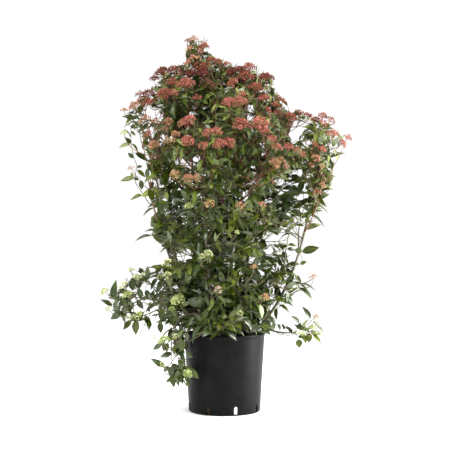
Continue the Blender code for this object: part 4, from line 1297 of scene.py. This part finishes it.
stemPlan = {"from": 0.05, "pairStep": 0.045, "shoot": 0.085, "radius": 0.0013, "bare": ("right_lobe",)}


# short leafy shoots in crossed pairs on the lower part of a stem
def growStem(crown, curve, last, rng):
    plan, first = stemPlan, stemPlan["from"]
    pairs = max(1, int(arcLength(curve, first, last) / plan["pairStep"]))
    roll = rng.uniform(0, math.pi)
    for pair in range(pairs):
        share = first + (last - first) * (pair + 0.5) / pairs
        root, heading = curvePoint(curve, share), curveHeading(curve, share)
        for hand in (0.0, math.pi):
            out = sideways(heading, roll + hand)
            way = (out + 0.55 * heading + 0.5 * Vector((root.x, root.y, 0)).normalized()).normalized()
            growShoot(crown, "low_left", Sleeve(), root, way, plan["shoot"] * rng.uniform(0.55, 1.25),
                      plan["radius"], rng, order=2)
        roll += math.pi / 2 + rng.uniform(-0.2, 0.2)


limbs = limbCurves()
graph = bpy.context.evaluated_depsgraph_get()
obstacles = [BVHTree.FromObject(frame["nodes"][name], graph) for name in ("pot", "soil")]
rng = random.Random(massPlan["seed"])
# every mass: its curve, where it starts on it, and its half width
masses = {name: (curve, bareShare, tipHalfWidth) for name, (curve, bareShare, _) in limbs.items()}
for name, (carrier, share, apex, bow, spread) in sprays.items():
    base, apex = limbs[carrier][0], Vector(apex)
    foot, heading = curvePoint(base, share), curveHeading(base, share)
    out = apex - foot
    out = (out - heading * out.dot(heading)).normalized()
    masses[name] = ((foot, foot.lerp(apex, 0.5) + out * bow * (apex - foot).length, apex), 0.0, spread)
spaces = {name: Space(curvePoint(curve, start), curve[2], spread)
          for name, (curve, start, spread) in masses.items()}
crown = Growth(obstacles, [curvePoint(curve, bareShare * i / 40) for curve, bareShare, _ in limbs.values()
                           for i in range(41)])
for tint, rows in heads.items():
    for row in rows:
        placeHead(crown, tint, *row, rng)
for depth, rows in clearLeaves.values():
    for row in rows:
        keepShown(crown, depth, row)
for name, (carrier, share, apex, bow, spread) in fillers.items():
    foot, apex = curvePoint(limbs[carrier][0], share), Vector(apex)
    masses[name] = ((foot, foot.lerp(apex, 0.5) + up * bow * (apex - foot).length, apex), 0.0, spread)
    spaces[name] = Space(foot, apex, spread)
for name, (curve, start, spread) in masses.items():
    growMass(crown, name, curve, start, spread, rng)
for stalk in crown.stalks:
    growStalk(crown, *stalk, rng)
for depth, places in clearShoots.values():
    growClear(crown, depth, places)
marks = crown.marks()
wood = KDTree(len(marks))
for index, mark in enumerate(marks):
    wood.insert(mark, index)
wood.balance()
for depth, rows in clearLeaves.values():
    for row in rows:
        setLeaf(crown, wood, depth, row, rng)
for name in stems:
    if name not in stemPlan["bare"]:
        growStem(crown, limbs[name][0], limbs[name][1], rng)
print("grown:", sum(map(len, crown.leaves.values())), "leaves,", len(crown.headPlaces), "heads,",
      len(crown.redShoots) + len(crown.greenShoots), "shoots")

foliageNodes = [name for name in frame["nodes"] if name.startswith("foliage_")]
limbNodes = [name for name in frame["nodes"] if name.startswith(("stem_", "bough_"))]


def finishPiece(piece, slotName, *nodes):
    if nodes:
        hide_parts(*nodes)
    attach(piece, "root")
    count = sum(len(p.vertices) - 2 for p in piece.data.polygons)
    print("piece:", piece.name, count, "triangles")


# stems, boughs and shoots
woodTubes = {
    "stems_and_boughs": {"Sides": 10, "Relief": 0.0016, "Relief size": 0.006, "Seed": 3},
    "leading_shoots": {"Sides": 6, "Relief": 0.0005, "Relief size": 0.005, "Seed": 4},
    "side_shoots": {"Sides": 4, "Relief": 0.0, "Seed": 5},
}
bark = speckled("bark", ((0.066, 0.057, 0.036), (0.180, 0.160, 0.105)), 0.011, 0.85, 0.25,
                grain=(0.0025, 0.0008))
youngWood = speckled("young_wood", ((0.100, 0.036, 0.022), (0.200, 0.092, 0.044)), 0.03, 0.55, 0.3,
                     grain=(0.002, 0.0002))
greenWood = speckled("green_wood", ((0.070, 0.060, 0.028), (0.150, 0.125, 0.060)), 0.03, 0.6, 0.3,
                     grain=(0.002, 0.0002))


def limbRun(curve, bareShare, footRadius, planted):
    plan, run = limbPlan, []
    length = arcLength(curve, 0.0, bareShare)
    steps = int(length / plan["step"])
    for i in range(steps + 1):
        radius = footRadius + (plan["tipRadius"] - footRadius) * i / steps
        if planted:
            radius *= 1 + (plan["flare"] - 1) * math.exp(-length * i / steps / plan["flareHeight"])
        run.append((curvePoint(curve, bareShare * i / steps), radius))
    if planted:
        run.insert(0, (run[0][0] - plan["sunk"] * up, run[0][1] * 1.05))
    return run


def makeTubes(kind, tone, runs, look, nodes):
    name = kind + tone
    piece = baked(runsObject(name + "_runs", runs), tubes,
                  {"Material": look, "Thickness": 1.0, **woodTubes[kind]}, name)
    piece.data.shade_smooth()
    finishPiece(piece, "bark", *nodes)


makeTubes("stems_and_boughs", "", [limbRun(*limb, name in stems) for name, limb in limbs.items()],
          bark, limbNodes)
high = [run for run in crown.wood if run[0][0].z > massPlan["redAbove"]]
low = [run for run in crown.wood if run[0][0].z <= massPlan["redAbove"]]
makeTubes("leading_shoots", "_red", high, youngWood, foliageNodes)
makeTubes("leading_shoots", "_green", low, greenWood, foliageNodes)
makeTubes("side_shoots", "_red", crown.redShoots, youngWood, foliageNodes)
makeTubes("side_shoots", "_green", crown.greenShoots, greenWood, foliageNodes)

# leaves: upper side from dark to light, roughness, underside, gloss, slot
leafLooks = {
    "shaded": ((0.006, 0.012, 0.002), (0.018, 0.030, 0.004), 0.32, (0.040, 0.054, 0.022), 0.22, "leaf_deep"),
    "deep": ((0.008, 0.015, 0.002), (0.032, 0.052, 0.007), 0.26, (0.070, 0.090, 0.036), 0.34, "leaf_deep"),
    "olive": ((0.014, 0.022, 0.002), (0.050, 0.068, 0.005), 0.30, (0.082, 0.100, 0.032), 0.28, "leaf_deep"),
    "slate": ((0.021, 0.034, 0.011), (0.048, 0.065, 0.026), 0.28, (0.096, 0.116, 0.064), 0.36, "leaf_deep"),
    "mid": ((0.030, 0.045, 0.004), (0.098, 0.127, 0.013), 0.31, (0.105, 0.130, 0.042), 0.30, "foliage"),
    "grey": ((0.036, 0.051, 0.022), (0.082, 0.099, 0.050), 0.27, (0.116, 0.136, 0.080), 0.48, "foliage"),
    "fresh": ((0.082, 0.110, 0.016), (0.160, 0.196, 0.036), 0.36, (0.160, 0.190, 0.070), 0.30, "leaf_fresh"),
    "pale": ((0.115, 0.135, 0.050), (0.185, 0.205, 0.090), 0.45, (0.200, 0.220, 0.120), 0.25, "leaf_fresh"),
    "flushed": ((0.070, 0.060, 0.014), (0.130, 0.105, 0.028), 0.40, (0.150, 0.130, 0.055), 0.30,
                "foliage_in_bud"),
}
redStalks = ("olive", "mid", "fresh", "flushed")
leafSkin = {"drift": 0.025, "veins": 7, "slant": 0.55, "midrib": 0.035, "paler": 1.9, "ridge": 0.0004,
            "underShade": 0.8, "underRough": 0.62, "underGloss": 0.2}
mostLeaves = 3400     # in a piece, which keeps it under 200,000 triangles
leafSeed, leafSpread = 7, 0.06


# leaf skin with a pale midrib and side veins, in two tones that drift over the crown
def leafLook(name, dark, light, rough, gloss):
    skin = leafSkin
    material, nodes, shader = newMaterial(name, rough, gloss)
    where = nodes.add("ShaderNodeTexCoord").outputs["Object"]
    tone = driftingTones(nodes, where, skin["drift"], (dark, light), 0.16, 1.5)
    blade = nodes.add("ShaderNodeAttribute", attribute_name="blade")
    parts = nodes.add("ShaderNodeSeparateXYZ", {"Vector": blade.outputs["Vector"]})
    off = nodes.math("ABSOLUTE", nodes.math("SUBTRACT", parts.outputs["Y"], 0.5))
    midrib = nodes.add("ShaderNodeMapRange", {"Value": off, "From Min": 0.3 * skin["midrib"],
                                              "From Max": skin["midrib"], "To Min": 1.0, "To Max": 0.0})
    along = nodes.math("SUBTRACT", parts.outputs["X"], nodes.math("MULTIPLY", off, skin["slant"]))
    wave = nodes.math("COSINE", nodes.math("MULTIPLY", along, skin["veins"] * 2 * math.pi))
    side = nodes.add("ShaderNodeMapRange", {"Value": wave, "From Min": 0.80, "From Max": 1.0,
                                            "To Min": 0.0, "To Max": 0.45})
    vein = nodes.math("MAXIMUM", midrib.outputs["Result"], side.outputs["Result"])
    paler = rgb(*(skin["paler"] * c for c in light))
    pale = nodes.add("ShaderNodeMix", {"Factor": vein, "A": tone, "B": paler}, data_type="RGBA")
    nodes.tree.links.new(pale.outputs["Result"], shader.inputs["Base Color"])
    bumpOn(nodes, shader, vein, 0.5, -skin["ridge"])
    return material


def scattered(name, spots, kinds, seed, spread, face, under, stalk):
    return baked(pointsObject(name + "_spots", spots), scatter, {
        "Shapes": kinds, "Size": 1.0, "Size spread": spread, "Seed": seed, "Material": face,
        "Underside": under, "Stalk": stalk}, name)


leafKinds = shapeCollection("leaf", [leafMesh(i, *kind) for i, kind in enumerate(leafShape["kinds"])])
for tint, spots in sorted(crown.leaves.items()):
    dark, light, rough, below, gloss, slotName = leafLooks[tint]
    face = leafLook(f"leaf_{tint}", dark, light, rough, gloss)
    shaded = tuple(leafSkin["underShade"] * c for c in below)
    under = speckled(f"leaf_{tint}_underside", (shaded, below), 0.03, leafSkin["underRough"],
                     leafSkin["underGloss"])
    stalk = youngWood if tint in redStalks else greenWood
    for part, first in enumerate(range(0, len(spots), mostLeaves)):
        name, some = f"leaves_{tint}" + (f"_{part + 1}" if part else ""), spots[first:first + mostLeaves]
        piece = scattered(name, some, leafKinds, leafSeed + part, leafSpread, face, under, stalk)
        finishPiece(piece, slotName, *foliageNodes)
dropCollection(leafKinds)

# flower heads: buds in shaded, usual and lit tones, rays, slot
headLooks = {
    "maroon": ((0.045, 0.022, 0.008), (0.120, 0.026, 0.016), (0.200, 0.052, 0.036),
               (0.120, 0.026, 0.020), "bud_red"),
    "brick": ((0.080, 0.044, 0.012), (0.200, 0.048, 0.028), (0.320, 0.092, 0.062),
              (0.180, 0.045, 0.028), "bud_red"),
    "rose": ((0.140, 0.060, 0.020), (0.290, 0.078, 0.054), (0.450, 0.150, 0.120),
             (0.220, 0.065, 0.035), "bud_rose"),
    "salmon": ((0.170, 0.100, 0.035), (0.330, 0.140, 0.078), (0.480, 0.230, 0.150),
               (0.230, 0.120, 0.050), "bud_rose"),
    "orange": ((0.200, 0.130, 0.040), (0.380, 0.220, 0.100), (0.540, 0.350, 0.190),
               (0.240, 0.150, 0.060), "bud_rose"),
    "open": ((0.240, 0.160, 0.100), (0.440, 0.300, 0.240), (0.640, 0.500, 0.430),
             (0.200, 0.160, 0.080), "petal"),
    "cream": ((0.230, 0.250, 0.090), (0.480, 0.500, 0.240), (0.680, 0.680, 0.430),
              (0.200, 0.190, 0.070), "bud_cream"),
    "lime": ((0.160, 0.210, 0.050), (0.370, 0.430, 0.150), (0.540, 0.590, 0.280),
             (0.150, 0.200, 0.060), "bud_cream"),
}
headSeed, pickSeed = 24, 9
rng = random.Random(headSeed)
plans = [headPlan(rng) for _ in range(headShape["kinds"])]
plans += [headPlan(rng, small=True) for _ in range(headShape["smallKinds"])]
rayKinds = shapeCollection("ray", [rayMesh(f"rayShape{i}", rays) for i, (rays, _) in enumerate(plans)])
budKinds = shapeCollection("bud", [budMesh(f"budShape{i}", buds, rng) for i, (_, buds) in enumerate(plans)])
petalKinds = shapeCollection("petal", [flowerMesh(f"petalShape{i}", buds, rng)
                                       for i, (_, buds) in enumerate(plans)])
print("shapes:", len(leafShape["kinds"]), "leaves and", len(plans), "flower heads")
petal = speckled("petal", ((0.78, 0.62, 0.58), (0.90, 0.84, 0.80)), 0.004, 0.6, 0.2)
finishPiece(scattered("open_flowers", crown.heads["open"], petalKinds, pickSeed, 0.0, petal, petal, petal),
            "petal")
for tint, spots in sorted(crown.heads.items()):
    *tones, rayTone, slotName = headLooks[tint]
    buds = speckled(f"buds_{tint}", tones, 0.012, 0.6, 0.15, detail=4.0, spread=0.10)
    rays = speckled(f"rays_{tint}", (tuple(0.7 * c for c in rayTone), rayTone), 0.01, 0.6, 0.2)
    for part, kinds, look, slot in (("buds", budKinds, buds, slotName),
                                    ("rays", rayKinds, rays, "shoot_red")):
        finishPiece(scattered(f"{part}_{tint}", spots, kinds, pickSeed, 0.0, look, look, look), slot)
for kinds in (rayKinds, budKinds, petalKinds):
    dropCollection(kinds)

potPlan = {
    "height": 0.288,
    "rimRadius": 0.150,
    "footRadius": 0.1315,
    "wall": 0.0025,
    "floor": 0.003,
    "footRounding": 0.007,
    "hollow": (0.055, 0.057, 0.0006),     # under the foot: flat to, level again from, height
    "bandHeight": 0.012,
    "bandProud": 0.0012,
    "lip": 0.0016,           # rounding of the rim's edges
    "sides": 144,
    "slotCount": 8,
    "slotFirst": 288.0,
    "slotWidth": 0.013,
    "slotLow": 0.004,
    "slotHigh": 0.034,
    "slotCut": (0.112, 0.156),     # how far out the cutters start and end
}


# a shape turned about Z from (radius, height) pairs that start and end on the axis
def turnedObject(name, profile, sides):
    points, faces, rings = [], [], []
    for radius, height in profile:
        if radius == 0.0:
            rings.append([len(points)] * sides)
            points.append((0, 0, height))
            continue
        rings.append(list(range(len(points), len(points) + sides)))
        for side in range(sides):
            angle = 2 * math.pi * side / sides
            points.append((radius * math.cos(angle), radius * math.sin(angle), height))
    for low, high in zip(rings, rings[1:]):
        for side in range(sides):
            after = (side + 1) % sides
            faces.append(corners(low[side], low[after], high[after], high[side]))
    return addObject(name, addMesh(name, points, faces))


def potRadius(height):
    plan = potPlan
    return plan["footRadius"] + (plan["rimRadius"] - plan["bandProud"]
                                 - plan["footRadius"]) * height / plan["height"]


def potProfile():
    plan = potPlan
    height, wall, rounding, proud = plan["height"], plan["wall"], plan["footRounding"], plan["bandProud"]
    flat, level, raised = plan["hollow"]
    foot = potRadius(rounding) - rounding
    profile = [(0.0, raised), (flat, raised), (level, 0.0), (foot, 0.0)]
    for step in range(1, 7):
        angle = math.pi / 2 * step / 6
        profile.append((foot + rounding * math.sin(angle), rounding - rounding * math.cos(angle)))
    band = height - plan["bandHeight"]
    for step in range(1, 12):
        level = rounding + (band - rounding) * step / 11
        profile.append((potRadius(level), level))
    profile += [(potRadius(band) + 0.5 * proud, band + 0.0004), (potRadius(band) + proud, band + 0.0015)]
    rim, inside, lip = plan["rimRadius"], plan["rimRadius"] - proud - wall, plan["lip"]
    profile += [(rim, height - lip), (rim - 0.0005, height - 0.0004), (rim - lip, height),
                (inside + lip / 2, height), (inside, height - lip / 2)]
    return profile + [(potRadius(0.1) - wall, 0.1), (potRadius(plan["floor"]) - wall, plan["floor"] + 0.002),
                      (potRadius(plan["floor"]) - 2 * wall, plan["floor"]), (0.0, plan["floor"])]


def slotCutter(index):
    plan, half, outline = potPlan, potPlan["slotWidth"] / 2, []
    for centre, first in ((plan["slotHigh"] - half, 0.0), (plan["slotLow"] + half, math.pi)):
        for step in range(9):
            angle = first + math.pi * step / 8
            outline.append((half * math.cos(angle), centre + half * math.sin(angle)))
    turn = Matrix.Rotation(math.radians(plan["slotFirst"] + 360.0 * index / plan["slotCount"]), 4, "Z")
    points = [turn @ Vector((out, across, level)) for out in plan["slotCut"] for across, level in outline]
    count = len(outline)
    faces = [tuple(reversed(range(count))), tuple(range(count, 2 * count))]
    faces += [(i, (i + 1) % count, count + (i + 1) % count, count + i) for i in range(count)]
    return addMesh("slot_cutter", points, faces)


def makePot():
    pot = turnedObject("pot_shell", potProfile(), potPlan["sides"])
    cutters = shapeCollection("slot_cutter", [slotCutter(i) for i in range(potPlan["slotCount"])])
    bpy.context.scene.collection.children.link(cutters)
    cut = pot.modifiers.new("slots", "BOOLEAN")
    cut.operation, cut.solver, cut.operand_type, cut.collection = "DIFFERENCE", "EXACT", "COLLECTION", cutters
    mesh = evaluatedMesh(pot)
    pot.modifiers.clear()
    pot.data = mesh
    dropCollection(cutters)
    mesh.shade_smooth()
    mesh.set_sharp_from_angle(angle=math.radians(38))
    mesh.materials.clear()
    mesh.materials.append(speckled(
        "moulded_black_plastic", ((0.0024, 0.0024, 0.0023), (0.0050, 0.0049, 0.0048)), 0.05, 0.42, 0.075,
        grain=(0.0012, 0.00006)))
    return pot


finishPiece(makePot(), "black_plastic", "pot")

compostPlan = {
    "rings": 30,
    "sides": 120,
    "lumps": 0.009,
    "clearance": 0.0022,     # between the compost and the wall
    "settled": 0.003,        # of the surface below the soil's level
    "bedding": 0.0006,       # between the compost and the floor
}


def makeCompost():
    plan, wall = compostPlan, potPlan["wall"]
    rim, level = potRadius(soilLevel) - wall - plan["clearance"], soilLevel - plan["settled"]
    bottom = potPlan["floor"] + plan["bedding"]
    profile = [(0.0, bottom), (potRadius(bottom) - wall - 0.005, bottom),
               (potRadius(0.05) - wall - plan["clearance"], 0.05), (rim, soilLevel - 2 * plan["settled"])]
    profile += [(rim * (1 - i / plan["rings"]), level) for i in range(plan["rings"])] + [(0.0, level)]
    obj = turnedObject("compost_bed", profile, plan["sides"])
    for vertex in obj.data.vertices:
        if vertex.co.z > level - 0.001 and vertex.co.xy.length < rim - 0.001:
            place = vertex.co * 60
            lump = noise.noise(place) + 0.6 * noise.noise(place * 2.7) + 0.35 * noise.noise(place * 6.1)
            vertex.co.z += plan["lumps"] * 0.5 * lump
    obj.data.materials.append(speckled(
        "compost", ((0.018, 0.011, 0.007), (0.070, 0.044, 0.028)), 0.006, 0.95, 0.2, grain=(0.003, 0.003)))
    obj.data.shade_smooth()
    return obj


finishPiece(makeCompost(), "peat", "soil")

# white fleece that lines the pot behind one of its slots
fleecePlan = {"bearing": 288.0, "width": 0.024, "low": 0.006, "high": 0.042, "thickness": 0.0008,
              "clearance": 0.0005, "steps": 10, "rows": 6, "waist": 0.12}


def makeFleece():
    plan, steps, rows = fleecePlan, fleecePlan["steps"], fleecePlan["rows"]
    points, faces = [], []
    for skin in (0, 1):
        for row in range(rows + 1):
            level = plan["low"] + (plan["high"] - plan["low"]) * row / rows
            out = potRadius(level) - potPlan["wall"] - plan["clearance"] - skin * plan["thickness"]
            for step in range(steps + 1):
                across = plan["width"] * (step / steps - 0.5) * (1 - plan["waist"] * abs(row / rows - 0.5))
                angle = math.radians(plan["bearing"]) + across / out
                points.append((out * math.cos(angle), out * math.sin(angle), level))
    wide, half = steps + 1, (steps + 1) * (rows + 1)
    for row in range(rows):
        for step in range(steps):
            a = row * wide + step
            faces.append((a, a + 1, a + 1 + wide, a + wide))
            faces.append((half + a, half + a + wide, half + a + 1 + wide, half + a + 1))
    edge = list(range(steps + 1)) + [r * wide + steps for r in range(1, rows + 1)]
    edge += [rows * wide + i for i in range(steps - 1, -1, -1)] + [r * wide for r in range(rows - 1, 0, -1)]
    faces += [(b, a, half + a, half + b) for a, b in zip(edge, edge[1:] + edge[:1])]
    mesh = addMesh("fleece", points, faces)
    mesh.materials.append(speckled("white_fleece", ((0.82, 0.82, 0.80), (0.92, 0.92, 0.90)), 0.002, 0.9, 0.1,
                                   grain=(0.0006, 0.0002)))
    return addObject("fleece", mesh)


finishPiece(makeFleece(), "petal")

studio = {
    "floorSize": 60.0,
    "paper": (0.98, 0.98, 0.975),
    "lens": 86.1,
    "sky": 1.04,
    # place, target, width and height, power
    "lamps": {"key": ((-1.6, -3.0, 3.0), (0, 0, 0.8), (1.2, 1.2), 172),
              "side": ((2.4, -0.15, 0.8), (0, 0, 0.45), (0.6, 1.8), 180),
              "top": ((0.0, 0.2, 3.6), (0, 0, 0.6), (2.0, 2.0), 108)},
}


def makeFloor():
    half = studio["floorSize"] / 2
    mesh = addMesh("paper_floor", [(-half, -half, 0), (half, -half, 0), (half, half, 0), (-half, half, 0)],
                   [(0, 1, 2, 3)])
    paper, _, shader = newMaterial("paper", 0.95, 0.1)
    shader.inputs["Base Color"].default_value = rgb(*studio["paper"])
    mesh.materials.append(paper)
    addObject("paper_floor", mesh)


def makeLamp(name, place, target, size, power):
    lamp = bpy.data.lights.new(name, "AREA")
    lamp.shape, lamp.size, lamp.size_y, lamp.energy = "RECTANGLE", size[0], size[1], power
    obj = addObject(name, lamp)
    obj.location = place
    obj.rotation_euler = (Vector(target) - Vector(place)).to_track_quat("-Z", "Y").to_euler()


def makeSky():
    world = bpy.data.worlds.new("studio")
    bpy.context.scene.world = world
    world.use_nodes = True
    light = world.node_tree.nodes["Background"].inputs
    light["Color"].default_value, light["Strength"].default_value = rgb(1, 1, 1), studio["sky"]


def makeCamera():
    camera = bpy.data.cameras.new("camera")
    camera.lens, camera.sensor_width = studio["lens"], 36.0
    viewer = addObject("camera", camera)
    viewer.location = (eyeAcross, -eyeDistance, eyeLevel)
    viewer.rotation_euler = (math.pi / 2, 0, 0)
    bpy.context.scene.camera = viewer
    bpy.context.scene.view_settings.view_transform = "Standard"


makeFloor()
for name, lamp in studio["lamps"].items():
    makeLamp(name, *lamp)
makeSky()
makeCamera()
print("studio: paper floor,", len(studio["lamps"]), "lamps and the camera")
